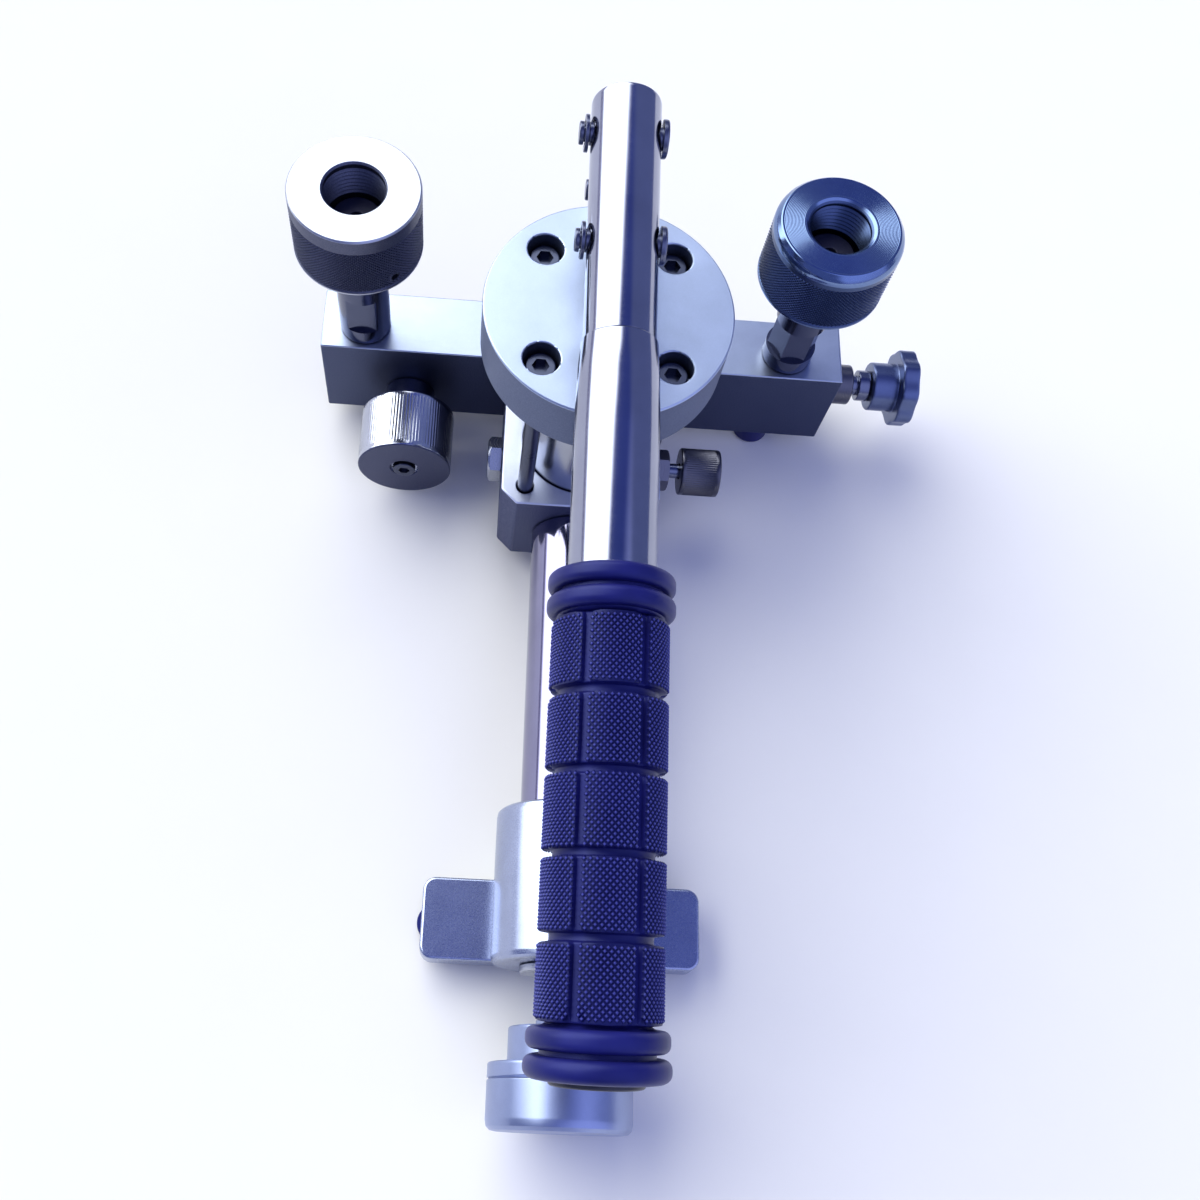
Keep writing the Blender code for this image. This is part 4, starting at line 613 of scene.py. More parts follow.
# %% [markdown]
# ## The lever
# A solid round head carries the two cross pins, and a tube slides over its tail, where
# its end is drawn in. The whole lever leans 7.5 degrees. In its own frame z runs along
# the lever from the rod's pin to the hand, x goes right and y goes up.

# %% Head, tube and end plug
LEAN, PIVOT_REACH = math.radians(7.5), 32
LEVER = spot(0, 0, ROD_PIN) @ Matrix.Rotation(LEAN, 4, "X")
ALONG = LEVER @ TURNS["front"]


def lever_side(reach, turn="right"):
    """A frame on the lever's axis, a reach behind the rod's pin, facing sideways."""
    return LEVER @ Matrix.Translation((0, reach, 0)) @ TURNS[turn]


head = lathe("head", [(0, -42), (9.4, -42, 1), (9.4, 28.7, 0.5), (9, 28.7, 0), (9, 61), (0, 61)],
             ALONG, 0.4, 128)
cuts = [box_cut((-4.3, -11, -17), (4.3, 6.6, 9), ALONG),
        box_cut((-4.3, -11, -44), (4.3, 7.9, -23.5), ALONG)]
cuts += [hole(3.3, lever_side(reach) @ Matrix.Translation((0, 0, 10)), 22)
         for reach in (0, PIVOT_REACH)]
head = carve(head, cuts, 0.3)
LEVER_LOOK = metal("ground_lever", (0.33, 0.34, 0.42), 0.14, ALONG, "turned", 0.0012, 0.5, 0.05)
dress(head, "lever_head", LEVER_LOOK)
tube = [(9.3, 29), (9.9, 29, 0.2), (10.4, 36, 2.8), (10.8, 50, 5), (10.8, 205, 0.4), (9.3, 205)]
turned("lever_tube", tube, ALONG, LEVER_LOOK, 0.2, 128)
plug = [(0, 197), (9, 197), (9, 205.3), (10.8, 205.3, 0.2), (10.8, 207.3, 0.8), (0, 207.3)]
turned("lever_end_plug", plug, ALONG, PLASTIC, 0.3)

# %% [markdown]
# ## Pins, clips and links
# Each pin has a flat head on one side and an open clip in a groove on the other. Two
# steel plates in the head's rear slot link it to a lug behind the flange, so that the
# rod can go straight while the lever turns.


# %% Pins and their clips
def pin_and_clip(name, side, at):
    """A cross pin along the frame's z axis and the clip in its groove."""
    groove = side + 1.3
    profile = [(0, -side - 1.5), (5, -side - 1.5, 0.7), (5, -side, 0.1), (3, -side), (3, side),
               (2.2, side), (2.2, groove + 0.3), (3, groove + 0.3, 0.1), (3, groove + 1.5, 0.4),
               (0, groove + 1.5)]
    look = metal("dark_" + name, (0.13, 0.14, 0.20), 0.26, at, "turned", 0.002)
    turned(name + "_pin", profile, at, look, 0.1, 64)
    turns = np.linspace(-math.pi / 2 + 0.55, math.pi * 1.5 - 0.55, 61)
    rim = [(4.8 * math.cos(turn), 4.8 * math.sin(turn)) for turn in turns]
    bite = [(2.5 + 0.9 * (abs(math.sin(1.5 * (turn - math.pi / 2))) > 0.6)) for turn in turns]
    bore = [(r * math.cos(turn), r * math.sin(turn)) for r, turn in zip(bite, turns)]
    clip = slab("clip", rim + bore[::-1], side + 0.3, groove, at)
    dress(carve(clip, (), 0.15, limit=60), name + "_clip", look)


LUG_PIN = Vector((0, 46, 110))
pin_and_clip("rod", 9.7, lever_side(0, "left"))
pin_and_clip("lever_pivot", 9.7, lever_side(PIVOT_REACH, "left"))
pin_and_clip("link_base", 4.3, spot(*LUG_PIN, "left"))

# %% Link plates and their lug
PIVOT_PIN = Vector((0, PIVOT_REACH * math.cos(LEAN), ROD_PIN + PIVOT_REACH * math.sin(LEAN)))
LINK_LENGTH = (PIVOT_PIN - LUG_PIN).length
tilt = math.atan2(LUG_PIN.y - PIVOT_PIN.y, PIVOT_PIN.z - LUG_PIN.z)
LINK = spot(*LUG_PIN) @ Matrix.Rotation(tilt, 4, "X") @ TURNS["right"]
ends = arc(0, LINK_LENGTH, 6.5, 0, math.pi, 33) + arc(0, 0, 4.85, math.pi, math.tau, 33)
LINK_LOOK = metal("rolled_link", STEEL, 0.28, LINK, "milled", 0.002, 0.4)
for word, low in (("left", -4.0), ("right", 2.5)):
    plate = slab("plate", ends, low, low + 1.5, LINK)
    cuts = [hole(radius, LINK @ Matrix.Translation((0, reach, low + 2)), 6)
            for radius, reach in ((3.3, 0), (4.3, LINK_LENGTH))]
    dress(carve(plate, cuts, 0.2), "link_plate_" + word, LINK_LOOK)
lug = [(17.75, 98), (52, 98), *arc(*LUG_PIN.yz, 6, 0, math.pi / 2, 13), (17.75, 116)]
lug = slab("lug", lug, -5, 5, spot(0, 0, 0, "right"))
seat = lathe("cutter", [(0, 95), (35.8, 95), (35.8, 120), (0, 120)], CORE, 0, 160)
cuts = [seat, box_cut((2.2, 0, 104.55), (8, 56, 120)), box_cut((-8, 0, 104.55), (-2.2, 56, 120)),
        hole(3.3, spot(12, *LUG_PIN.yz, "right"), 26), hole(3.8, spot(0, 52, 102.4, "back"), 4.3),
        hole(2.3, spot(0, 52, 102.4, "back"), 30, 32)]
dress(carve(lug, cuts, 0.4), "link_bracket", metal("milled_lug", ALUMINIUM, 0.34, CORE, "milled"))
cap_screw("link_bracket_screw", 2, 3.5, 4, 20.5, spot(0, 48, 102.4, "back"))

# %% [markdown]
# ## Knurls and studs with Geometry Nodes
# The gauge nuts have a diamond knurl and the grip is covered with small studs. Both are
# the same idea: points in staggered rows on a cylinder, a low four-sided pyramid on each.
# The tree takes the cylinder, the count and the pyramid's size. It can also leave
# channels free, which divide the grip into pads.


# %% A tree that sets pyramids on a cylinder
def new_tree(name, sizes):
    """A Geometry Nodes tree with named inputs and one geometry output."""
    tree = bpy.data.node_groups.new(name, "GeometryNodeTree")
    for label, kind in sizes:
        tree.interface.new_socket(label, in_out="INPUT", socket_type=kind)
    tree.interface.new_socket("Geometry", in_out="OUTPUT", socket_type="NodeSocketGeometry")
    graph = Graph(tree)
    first = tree.nodes.new("NodeGroupInput")
    return tree, graph, {label: Wire(graph, first.outputs[label]) for label, kind in sizes}


def run_tree(tree, values, at):
    """Evaluate a tree with its values and return a plain mesh, placed in a frame."""
    empty = bpy.data.meshes.new(tree.name)
    host = bpy.data.objects.new(tree.name, empty)
    bpy.context.scene.collection.objects.link(host)
    made = host.modifiers.new("tree", "NODES")
    made.node_group = tree
    for item in tree.interface.items_tree:
        if item.item_type == "SOCKET" and item.in_out == "INPUT":
            made[item.identifier] = values[item.name]
    bake(host)
    host.data.transform(Matrix.Scale(MM, 4) @ at)
    return host


def close_tree(graph, made, finish):
    """End a tree: real meshes in place of instances, and their material."""
    made = graph.node("GeometryNodeRealizeInstances", None, {"Geometry": made})
    made = graph.node("GeometryNodeSetMaterial", None, {"Geometry": made, "Material": finish})
    graph.node("NodeGroupOutput", None, {"Geometry": made})


FLOAT, WHOLE = "NodeSocketFloat", "NodeSocketInt"
STUDS, graph, size = new_tree("studs_on_a_cylinder", [
    ("Radius", FLOAT), ("Start", FLOAT), ("Row step", FLOAT), ("Rows", WHOLE), ("Around", WHOLE),
    ("Half width", FLOAT), ("Half height", FLOAT), ("Stand", FLOAT), ("Panels", FLOAT),
    ("Panel turn", FLOAT), ("Panel margin", FLOAT), ("Band", FLOAT), ("Band start", FLOAT),
    ("Band margin", FLOAT), ("Finish", "NodeSocketMaterial")])
index = graph.node("GeometryNodeInputIndex")
row = (index / size["Around"]).math("FLOOR", (index + 0.5) / size["Around"])
column = index - row * size["Around"]
angle = (column + (row % 2) * 0.5) / size["Around"] * math.tau
height = size["Start"] + row * size["Row step"]
line = graph.node("GeometryNodeMeshLine", None, {"Count": size["Around"] * size["Rows"]})
place = graph.node("ShaderNodeCombineXYZ", None, {
    0: size["Radius"] * angle.math("COSINE", angle),
    1: size["Radius"] * angle.math("SINE", angle), 2: height})
points = graph.node("GeometryNodeSetPosition", None, {"Geometry": line, "Position": place})
panel = math.tau / size["Panels"]
off_panel = panel / 2 - abs((angle - size["Panel turn"]) % panel - panel / 2)
off_band = size["Band"] / 2 - abs((height - size["Band start"]) % size["Band"] - size["Band"] / 2)
near_channel = off_panel * size["Radius"] < size["Panel margin"]
near_groove = off_band < size["Band margin"]
points = graph.node("GeometryNodeDeleteGeometry", {"domain": "POINT"}, {
    "Geometry": points, "Selection": (near_channel + near_groove) > 0.5})
stud = graph.node("GeometryNodeMeshCone", {"fill_type": "NGON"}, {
    "Vertices": 4, "Radius Top": 0.28, "Radius Bottom": 1.0, "Depth": 1.0})
seat_x, seat_y, seat_z = graph.xyz(graph.node("GeometryNodeInputPosition"))
facing = graph.node("ShaderNodeCombineXYZ", None, {
    0: 0.0, 1: math.pi / 2, 2: seat_y.math("ARCTAN2", seat_y, seat_x)})
scale = graph.node("ShaderNodeCombineXYZ", None, {
    0: size["Half height"], 1: size["Half width"], 2: size["Stand"]})
studs = graph.node("GeometryNodeInstanceOnPoints", None, {
    "Points": points, "Instance": stud, "Rotation": facing, "Scale": scale})
close_tree(graph, studs, size["Finish"])
print("stud tree has", len(STUDS.nodes), "nodes")


# %% Put studs on a piece
def stud_field(finish, at, radius, start, step, rows, around, stand, wide=1.0, panels=1.0,
               turn=0.0, margin=0.0, band=1e6, band_start=-1e5, band_margin=0.0):
    """A field of pyramids whose corners just meet, in a piece's frame."""
    return run_tree(STUDS, {
        "Radius": radius, "Start": start, "Row step": step, "Rows": rows, "Around": around,
        "Half width": wide * math.pi * radius / around, "Half height": wide * step, "Stand": stand,
        "Panels": float(panels), "Panel turn": turn, "Panel margin": margin, "Band": band,
        "Band start": band_start, "Band margin": band_margin, "Finish": finish}, at)


def join(piece, *others):
    """Put other meshes into a piece's mesh."""
    bm = bmesh.new()
    for part in (piece, *others):
        part.data.materials.clear()
        bm.from_mesh(part.data)
    bm.to_mesh(piece.data)
    bm.free()
    for part in others:
        bpy.data.objects.remove(part)
    return piece


# %% [markdown]
# ## The gauge ports
# Each port is a steel stem with spanner flats, and a round nut that turns on it and
# draws a gauge in. The left nut is satin, with a crisp rim and a small hole for a pin
# spanner. The right one is polished, and the rings of its turned top draw the light into
# a bow tie, as on the bottom of a pan. So the rings are real there.


# %% A gauge nut's outline
def nut_outline(word):
    """Foot, knurled side, rim and threaded mouth of a nut."""
    nut = [(6.3, 82), (16, 82, 0.5), (20, 86, 0.25), (20, 86.9, 0.1), (19.5, 87.3, 0),
           (19.5, 104.2, 0), (20, 104.6, 0.2)]
    if word == "left":
        nut += [(20, 109.5, 0.2), (19.5, 110, 0.1), (9.9, 110, 0.1), (9.3, 109.4, 0.1)]
    else:
        nut += [(20, 107.8, 1.2), (18.2, 110, 1.0)]
        nut += [(r, 109.975 + 0.024 * math.cos(math.tau * (17.6 - r) / 0.42), 0)
                for r in np.arange(17.6, 11.2, -0.084)]
        nut += [(10.7, 110, 0.5), (9.3, 108.8, 0.4)]
    for step in range(7):
        crest = 108.0 - 1.5 * step
        nut += [(9.3, crest, 0.05), (9.95, crest - 0.75, 0.1)]
    return nut + [(9.3, 97.5, 0.1), (9.3, 88), (6.3, 88)]


def pin_hole(nut, knurl, at):
    """Drill the hole for a pin spanner and clear the knurl round it."""
    side = (at @ Matrix.Rotation(math.radians(-50), 4, "Z")
            @ Matrix.Translation((19.6, 0, 89.8)) @ TURNS["right"])
    carve(nut, [hole(1.25, side, 4, 24)], 0)
    shade(nut.data, 32)
    bm = bmesh.new()
    bm.from_mesh(knurl.data)
    bm.verts.ensure_lookup_table()
    corners = 8
    near = [corner for first in range(0, len(bm.verts), corners)
            if (bm.verts[first].co - side.translation * MM).length < 1.8 * MM
            for corner in bm.verts[first:first + corners]]
    bmesh.ops.delete(bm, geom=near, context="VERTS")
    bm.to_mesh(knurl.data)
    bm.free()


print("outline points:", {word: len(nut_outline(word)) for word in PORTS})

# %% Stems, nuts, collars and seals
for word, flats, turn in (("left", 2, math.pi / 2), ("right", 6, math.pi / 6)):
    at = spot(PORTS[word], 40, 0)
    stem = [(2, 32), (6, 32), (6, 44.3), (8.5, 44.3, 0.5), (8.5, 50.29, 0), (8.5, 50.31, 0),
            (8.5, 65.29, 0), (8.5, 65.31, 0), (8.5, 75.3, 0.5), (6, 75.3), (6, 95.3), (2, 95.3)]
    look = metal("turned_stem_" + word, (0.085, 0.095, 0.15), 0.18, at, "turned", 0.0015)
    turned("port_stem_" + word, stem, at, look, 0.2, 144, across(flats, 14, 50.3, 65.3, turn))
    nut = lathe("nut", nut_outline(word), at, 0.2, 160)
    knurl = stud_field(None, at, 19.46, 87.6, 0.6, 28, 104, 0.54)
    if word == "left":
        # Painted shade: the left nut's whole side and bore, and the right nut's side below the rim
        # and its bore, are darkened; in the knurl's valleys this is partly dirt.
        pin_hole(nut, knurl, at)
        look = metal("satin_nut", ALUMINIUM, 0.32, at, "turned", 0.006, 0.4,
                     shade_and_dirt=(86.6, 109.45, 0.86, 9.85))
    else:
        look = metal("polished_nut", (0.17, 0.24, 0.41), 0.15, at, "turned", 0.004, 0.30, 0.05,
                     (86.6, 106.4, 0.66, 9.97))
    dress(join(nut, knurl), "port_nut_" + word, look)
    turned("port_collar_" + word, [(6.3, 88.3), (8.6, 88.3), (8.6, 92.3), (6.3, 92.3)], at,
           metal("dark_collar_" + word, (0.14, 0.135, 0.15), 0.3, at), 0.3)
    turned("port_seal_" + word, [(2, 95.6), (7.5, 95.6), (7.5, 97.6), (2, 97.6)], at, SEAL, 0.4)

# %% [markdown]
# ## Valves
# The left valve has a large knob with fine straight ribs, the right one a lobed knob for
# finger and thumb. A small bleed valve stands on the block, and opposite it a hexagon
# plug closes the check valve's bore. All have a gland, a stem and a knob.

# %% Left valve
at = LEFT_VALVE
turned("left_valve_gland", [(3.8, 0.3), (8.5, 0.3), (8.5, 7, 0.8), (3.8, 7)], at,
       metal("left_gland", DARK_STEEL, 0.24, at))
stem = [(0, -10), (1.67, -10), (5, -7), (5, -2.3), (3.5, -2.3), (3.5, 27.5), (2.3, 27.5),
        (2.3, 19.5), (0, 19.5)]
turned("left_valve_stem", stem, at, metal("left_stem", DARK_STEEL, 0.16, at), steps=64)
knob = [(3.8, 10), (16, 10, 0.8), (16, 11.6, 0), (16, 12, 0), (16, 29.2, 0), (16, 29.6, 0),
        (16, 31.5, 0.6), (4.8, 31.5, 0.3), (4.8, 29.5), (2.3, 29.5), (2.3, 27.8), (3.8, 27.8)]
# Painted shade: the knob's front face is darkened.
look = metal("left_knob", (0.50, 0.52, 0.60), 0.18, at, "turned", 0.002, shade_and_dirt=(31.2, 40, 0.97))
turned("left_valve_knob", knob, at, look, 0.2, 384, ribs(96, 0.16, 11.8, 29.4, 15), 50)
cap_screw("left_valve_knob_screw", 2, 3.8, 2.5, 8, spot(-59.5, 0.2, 20, "front"))

# %% Right valve
at = RIGHT_VALVE
turned("right_valve_gland", [(3.8, 0.3), (7, 0.3), (7, 8, 0.8), (3.8, 8)], at,
       metal("right_gland", (0.12, 0.12, 0.15), 0.3, at))
stem = [(0, -10), (1.67, -10), (5, -7), (5, -2.3), (3.5, -2.3), (3.5, 10.6), (5.4, 10.6, 0.4),
        (5.4, 14.7, 0.4), (3.5, 14.7), (3.5, 27), (0, 27)]
turned("right_valve_stem", stem, at, metal("right_stem", DARK_STEEL, 0.2, at), steps=64)


def lobes(angle, height, radius):
    """Eight shallow hollows round the rim of the knob."""
    if radius < 9:
        return np.full(len(angle), radius)
    return radius - 0.9 * (0.5 - 0.5 * np.cos(8 * angle)) * min(1, (radius - 9) / 3)


knob = [(0, 27.3), (3.8, 27.3), (3.8, 15), (8.5, 15, 0.8), (8.5, 24, 0.5), (13.5, 24, 0.9),
        (13.5, 30, 0.9), (10, 30, 0.3), (9.6, 29.6, 0.3), (0, 29.6)]
look = metal("right_knob", (0.12, 0.15, 0.27), 0.30, at, "blasted", 0.003)
turned("right_valve_knob", knob, at, look, 0.2, 192, lobes)

# %% Bleed valve and check plug
at = BLEED_VALVE
turned("bleed_valve_gland", [(2.8, 0.3), (7, 0.3), (7, 5, 0.8), (2.8, 5)], at,
       metal("bleed_gland", (0.16, 0.16, 0.20), 0.3, at), wave=across(6, 12.12))
stem = [(0, -6), (1.33, -6), (4, -3), (4, -1.8), (2.5, -1.8), (2.5, 15.75), (0, 15.75)]
turned("bleed_valve_stem", stem, at, metal("bleed_stem", DARK_STEEL, 0.16, at), steps=64)
knob = [(0, 16.05), (2.8, 16.05), (2.8, 9), (8, 9, 0.8), (8, 10.4, 0), (8, 10.7, 0), (8, 20.6, 0),
        (8, 20.9, 0), (8, 22.5, 1.2), (0, 22.5)]
turned("bleed_valve_knob", knob, at, metal("bleed_knob", (0.10, 0.10, 0.125), 0.3, at), 0.2, 256,
       ribs(64, 0.25, 10.55, 20.75, 7), 50)
plug = [(0, -6), (4, -6), (4, 0.3), (7.5, 0.3), (7.5, 3.9, 0.3), (6, 5, 0.4), (0, 5)]
turned("check_valve_plug", plug, CHECK_PLUG, metal("check_plug", STEEL, 0.26, CHECK_PLUG),
       wave=across(6, 13))

# %% [markdown]
# ## The fine adjustment
# A long polished cylinder runs forward from the block. Its front end sits in a blasted
# aluminium bracket with two flat feet. A screw with a coarse thread goes in through
# a nut, and the handwheel turns it.

# %% Cylinder and bracket
FINE = spot(0, 0, 24, "front")
cylinder = [(8, 13), (11, 13), (11, 25.3), (14.5, 25.3), (14.5, 150), (8, 150)]
look = metal("mirror_cylinder", (0.27, 0.26, 0.38), 0.09, FINE, "turned", 0.0006, 0.5, 0.05)
turned("fine_cylinder", cylinder, FINE, look, 0.4, 128)

body = lathe("body", [(0, 122), (21.6, 122, 2), (21.6, 168, 2), (0, 168)], FINE, 0, 128)
plan = []
for quarter, (x, y) in enumerate(((39, -145), (-39, -145), (-39, -162), (39, -162))):
    plan += arc(x, y, 4, quarter * math.pi / 2, (quarter + 1) * math.pi / 2, 9)
legs = slab("legs", plan, 4.3, 14, CORE)
LEG_FEET = {"left": -38.5, "right": 38.5}
bores = [hole(14.8, spot(0, -122, 24, "back"), 28.3, 96),
         hole(10.3, spot(0, -168, 24, "front"), 48, 96)]
bores += [hole(2.5, spot(x, -153.5, 4.3, "down"), 3.3, 24) for x in LEG_FEET.values()]
look = metal("blasted_bracket", (0.37, 0.41, 0.55), 0.27, FINE, "blasted", 0.003, 0.35, 0.03)
dress(carve(body, bores, 0.8, joined=[legs], segments=4), "fine_bracket", look)
foot = [(0, 0), (6, 0, 0.8), (6, 4), (2.2, 4), (2.2, 7), (0, 7)]
for word, x in LEG_FEET.items():
    turned("leg_foot_" + word, foot, spot(x, -153.5, 0), RUBBER, 0.3, 48)

# %% [markdown]
# The screw's thread follows a spiral, so a second tree sweeps a small square section
# along one. Only its outer corner shows, as the crest of the thread.

# %% Lead nut, lead screw and handwheel
nut = [(6.3, 150.3), (10, 150.3), (10, 168.3), (13, 168.3), (13, 170.3, 0.9), (6.3, 170.3)]
turned("lead_nut", nut, FINE, metal("turned_lead_nut", ALUMINIUM, 0.28, FINE))

THREAD, graph, size = new_tree("thread_on_a_rod", [
    ("Radius", FLOAT), ("Length", FLOAT), ("Turns", FLOAT), ("Section", FLOAT),
    ("Finish", "NodeSocketMaterial")])
spiral = graph.node("GeometryNodeCurveSpiral", None, {
    "Resolution": 32, "Rotations": size["Turns"], "Start Radius": size["Radius"],
    "End Radius": size["Radius"], "Height": size["Length"]})
spiral = graph.node("GeometryNodeSetCurveNormal", {"mode": "Z_UP"}, {"Curve": spiral})
section = graph.node("GeometryNodeCurvePrimitiveCircle", None, {
    "Resolution": 4, "Radius": size["Section"]})
thread = graph.node("GeometryNodeCurveToMesh", None, {
    "Curve": spiral, "Profile Curve": section, "Fill Caps": True})
close_tree(graph, thread, size["Finish"])
screw = lathe("screw", [(0, 92.3), (4, 92.3), (4, 132.3), (5.2, 132.3), (5.2, 210), (0, 210)],
              FINE, 0.2, 64)
crest = run_tree(THREAD, {"Radius": 5.2, "Length": 74.0, "Turns": 37.0, "Section": 0.8,
                          "Finish": None}, FINE @ Matrix.Translation((0, 0, 134)))
dress(join(screw, crest), "lead_screw", metal("lead_thread", STEEL, 0.22, FINE, "turned", 0.001))

wheel = [(0, 210.3), (6.3, 210.3), (6.3, 183.5), (7.5, 183.5, 0.3), (7.5, 185.5),
         (15.4, 185.5, 0.8), (15.4, 195.5), (21, 195.5, 0.8), (21, 199.6, 0.15),
         (20.4, 200, 0.1), (21, 200.4, 0.15), (21, 214, 3), (0, 214)]
look = metal("satin_wheel", (0.31, 0.36, 0.54), 0.33, FINE, "blasted", 0.003, 0.35, 0.04)
turned("handwheel", wheel, FINE, look, 0.3, 160)

# %% [markdown]
# ## The grip
# The rubber sleeve has two rings at each end. Between them six channels and four grooves
# leave raised pads with a field of small studs. Its surface is a radius for each angle
# and length, so it is one mesh: rows of samples are set close where the radius changes
# and wide where it doesn't.

# %% Sleeve
PANELS, CHANNEL_TURN = 6, math.radians(60)
BAND, BAND_START, BANDS = 18.4, 102.3, 5
BANDS_END = BAND_START + BANDS * BAND
HALF_CHANNEL, END_GAP = 1.0, 0.35
PAD_TOP, CORNER, LAST_CORNER = 14.0, 1.2, 2.6
EDGE_RADIUS, BORE, FOOT = 14.2, 11.1, 13.0
FRONT_RINGS = ((GRIP_LOW, 95.6, 1.6, 1.7, 15.4), (96.7, 101.5, 1.8, 1.8, 15.5))
HAND_RINGS = ((194.9, 199.8, 1.9, 1.9, 16.1), (200.9, GRIP_HIGH, 2.1, 2.3, 16.5))


def pad_radius(inside, along, u):
    """The sleeve's radius at a distance inside a pad's edge; it widens towards the hand."""
    rise = np.clip((inside + 0.15) / 0.3, 0, 1)
    floor = 12.7 - 0.9 * np.clip((0.2 - along) / 0.4, 0, 1)
    return (floor + (PAD_TOP - floor) * rise) * swell(u)


step = math.tau / PANELS
marks = [-0.35, -0.15, -0.05, 0.05, 0.15, 0.3, 0.6, 2.2]
edge_angles = [(HALF_CHANNEL + mark) / EDGE_RADIUS for mark in marks]
turns = [0.0] + edge_angles + list(np.linspace(edge_angles[-1], step - edge_angles[-1], 5)[1:-1])
turns += [step - turn for turn in edge_angles[::-1]]
angles = np.array([CHANNEL_TURN + panel * step + turn
                   for panel in range(PANELS) for turn in turns])
off = np.abs((angles - CHANNEL_TURN + step / 2) % step - step / 2) * EDGE_RADIUS - HALF_CHANNEL


def plain(u, radius):
    """A row of samples that is round."""
    return u, np.full(len(angles), radius)


def ring_rows(low, high, round_low, round_high, top):
    """Rows of one plain ring from its foot, over its rim, to its other foot."""
    made = [plain(low, FOOT)]
    for turn in np.linspace(0, math.pi / 2, 6):
        made.append(plain(low + round_low * (1 - math.cos(turn)),
                          top - round_low * (1 - math.sin(turn))))
    for turn in np.linspace(math.pi / 2, 0, 6):
        made.append(plain(high - round_high * (1 - math.cos(turn)),
                          top - round_high * (1 - math.sin(turn))))
    return made + [plain(high, FOOT)]


rows = [plain(GRIP_LOW, BORE)]
for ring in FRONT_RINGS:
    rows += ring_rows(*ring)
rows.append(plain(102.2, 12.6))
for band in range(BANDS):
    low = BAND_START + band * BAND + (HALF_CHANNEL if band else END_GAP)
    high = BAND_START + (band + 1) * BAND - (HALF_CHANNEL if band < BANDS - 1 else END_GAP)
    lengths = [low + mark for mark in marks]
    lengths += list(np.linspace(low + marks[-1], high - marks[-1], 6)[1:-1])
    lengths += [high - mark for mark in marks[::-1]]
    for u in lengths:
        inside = min(u - low, high - u)
        bend = LAST_CORNER if band == BANDS - 1 and u > (low + high) / 2 else CORNER
        corner = bend - np.hypot(np.maximum(bend - off, 0), max(bend - inside, 0))
        rows.append((u, pad_radius(np.minimum(np.minimum(off, inside), corner), inside, u)))
for ring in HAND_RINGS:
    rows += ring_rows(*ring)
rows.append(plain(GRIP_HIGH, BORE))
count = len(angles)
points = [(r * math.cos(turn), r * math.sin(turn), u)
          for u, radii in rows for r, turn in zip(radii, angles)]
faces = [[i * count + j, i * count + (j + 1) % count, k * count + (j + 1) % count, k * count + j]
         for i, k in zip(range(len(rows)), list(range(1, len(rows))) + [0]) for j in range(count)]
sleeve = make("sleeve", points, faces, ALONG, 55)
print("sleeve:", len(rows), "rows of", count, "samples")

# %% Studs on the pads
field = stud_field(None, ALONG, PAD_TOP - 0.15, BAND_START + 0.75, 0.78, 117, 60, 0.6, 0.98,
                   PANELS, CHANNEL_TURN, HALF_CHANNEL + 0.4, BAND, BAND_START,
                   HALF_CHANNEL + 0.35)
back, tallest = ALONG.inverted(), 0
for vertex in field.data.vertices:
    x, y, z = back @ (vertex.co / MM)
    tallest = max(tallest, math.hypot(x, y))
    vertex.co = ALONG @ Vector((x * swell(z), y * swell(z), z)) * MM
print("studs:", len(field.data.polygons) // 6, "with tips at", round(tallest, 2))
# The grip's finish paints a highlight on the stud tips and shade in the valleys between them.
GRIP_LOOK = moulded("studded_rubber", (0.009, 0.010, 0.100), 0.42, shine=0.42,
                    tint=(0.42, 0.48, 1), at=ALONG,
                    painted_stud_light=(BAND_START, BANDS_END, PAD_TOP, (0.055, 0.06, 0.27)))
dress(join(sleeve, field), "lever_grip", GRIP_LOOK)

# %% [markdown]
# ## What stays hidden
# Pistons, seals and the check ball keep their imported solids. They still get a proper
# finish each, because a viewer may open the model.

# %% Finishes for the solids that stay
kept = [name for name in NODES if name not in DRESSED]
for name in kept:
    for place in NODES[name].material_slots:
        place.material = INSIDE[SLOTS[name]]
print("kept as packed:", kept)

# %% [markdown]
# ## Camera
# The photograph looks steeply down from the grip's end. The place, turn and lens come
# from fitting the drawing's edges to it.

# %% Camera
camera = bpy.data.objects.new("camera", bpy.data.cameras.new("camera"))
bpy.context.scene.collection.objects.link(camera)
camera.location = (-0.04591, -0.14254, 0.40778)
camera.rotation_euler = (0.38526, -0.06909, 0.03692)
camera.data.sensor_width = 36
camera.data.lens = 38.08
camera.data.shift_x = 0.0562
camera.data.shift_y = 0.0296
camera.data.clip_start = 0.01
bpy.context.scene.camera = camera
print("camera", tuple(camera.location))

# %% [markdown]
# ## Floor and light
# A pale floor lies under the feet. The light is a sky that changes from side to side: a
# broad white window at the back on the left, a dark blue band overhead, and a soft
# lavender room in front and on the right. Round steel turns that into one white stripe,
# one blue one and a lavender shade. The sky is turned by 42 degrees about the vertical.

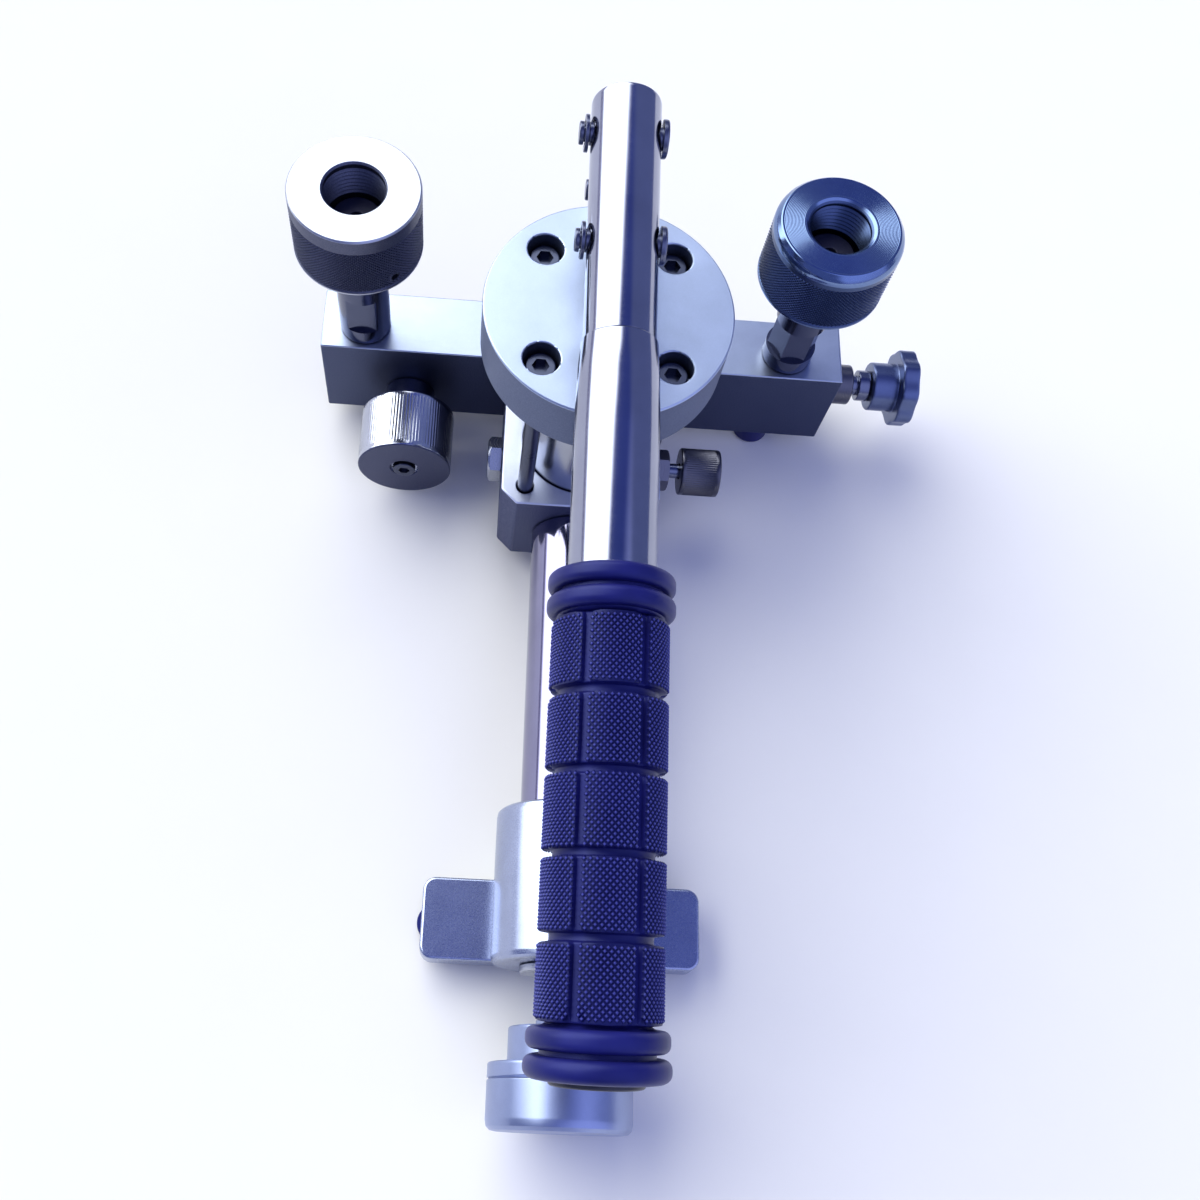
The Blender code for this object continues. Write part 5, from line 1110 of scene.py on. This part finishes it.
# %% Floor
FLOOR_RADIUS = 2.5
bm = bmesh.new()
bmesh.ops.create_circle(bm, cap_ends=True, segments=96, radius=FLOOR_RADIUS)
mesh = bpy.data.meshes.new("floor")
bm.to_mesh(mesh)
bm.free()
floor = bpy.data.objects.new("floor", mesh)
bpy.context.scene.collection.objects.link(floor)
floor.location.z = -0.0002
material = bpy.data.materials.new("pale_floor")
material.use_nodes = True
paint = Graph(material.node_tree)
shader = material.node_tree.nodes["Principled BSDF"]
shader.inputs["Roughness"].default_value = 0.9
place = paint.node("ShaderNodeTexCoord", out=3)
tone = paint.blend(paint.noise(place, 30, 3), (0.86, 0.83, 0.77, 1), (0.88, 0.85, 0.79, 1))
material.node_tree.links.new(tone.socket, shader.inputs["Base Color"])
floor.data.materials.append(material)
print("floor radius", FLOOR_RADIUS, "m")

# %% Sky
world = bpy.data.worlds.new("studio")
world.use_nodes = True
bpy.context.scene.world = world
world.node_tree.nodes.clear()
sky = Graph(world.node_tree)
x, y, z = sky.xyz(sky.node("ShaderNodeTexCoord"))
SKY_COS, SKY_SIN = 0.743, 0.669
lean = x * SKY_COS - y * SKY_SIN
swing = x * SKY_SIN + y * SKY_COS
turn = lean.math("ARCTAN2", lean, z) / math.tau + 0.5
WINDOW, NIGHT, ROOM = (0.95, 0.99, 1.0), (0.014, 0.022, 0.095), (0.150, 0.170, 0.31)
EDGE, DUSK = (0.09, 0.09, 0.14), (0.04, 0.05, 0.11, 1)
sides = sky.node("ShaderNodeValToRGB", {"stops": [
    (0.0, EDGE), (0.262, EDGE), (0.275, WINDOW), (0.436, WINDOW), (0.448, NIGHT),
    (0.515, NIGHT), (0.575, ROOM), (0.69, ROOM), (0.78, EDGE)]}, {0: turn})
near_end = sky.node("ShaderNodeMapRange", {"interpolation_type": "SMOOTHSTEP"},
                    {"Value": swing, "From Min": -0.65, "From Max": -0.45})
far_end = sky.node("ShaderNodeMapRange", {"interpolation_type": "SMOOTHSTEP"},
                   {"Value": swing, "From Min": 0.64, "From Max": 0.48})
sky.node("ShaderNodeOutputWorld", None, {0: sky.node("ShaderNodeBackground", None, {
    0: sky.blend(near_end * far_end, DUSK, sides), 1: 4.4})})
bpy.context.scene.view_settings.view_transform = "Standard"
print("sky from window", WINDOW, "to room", ROOM)
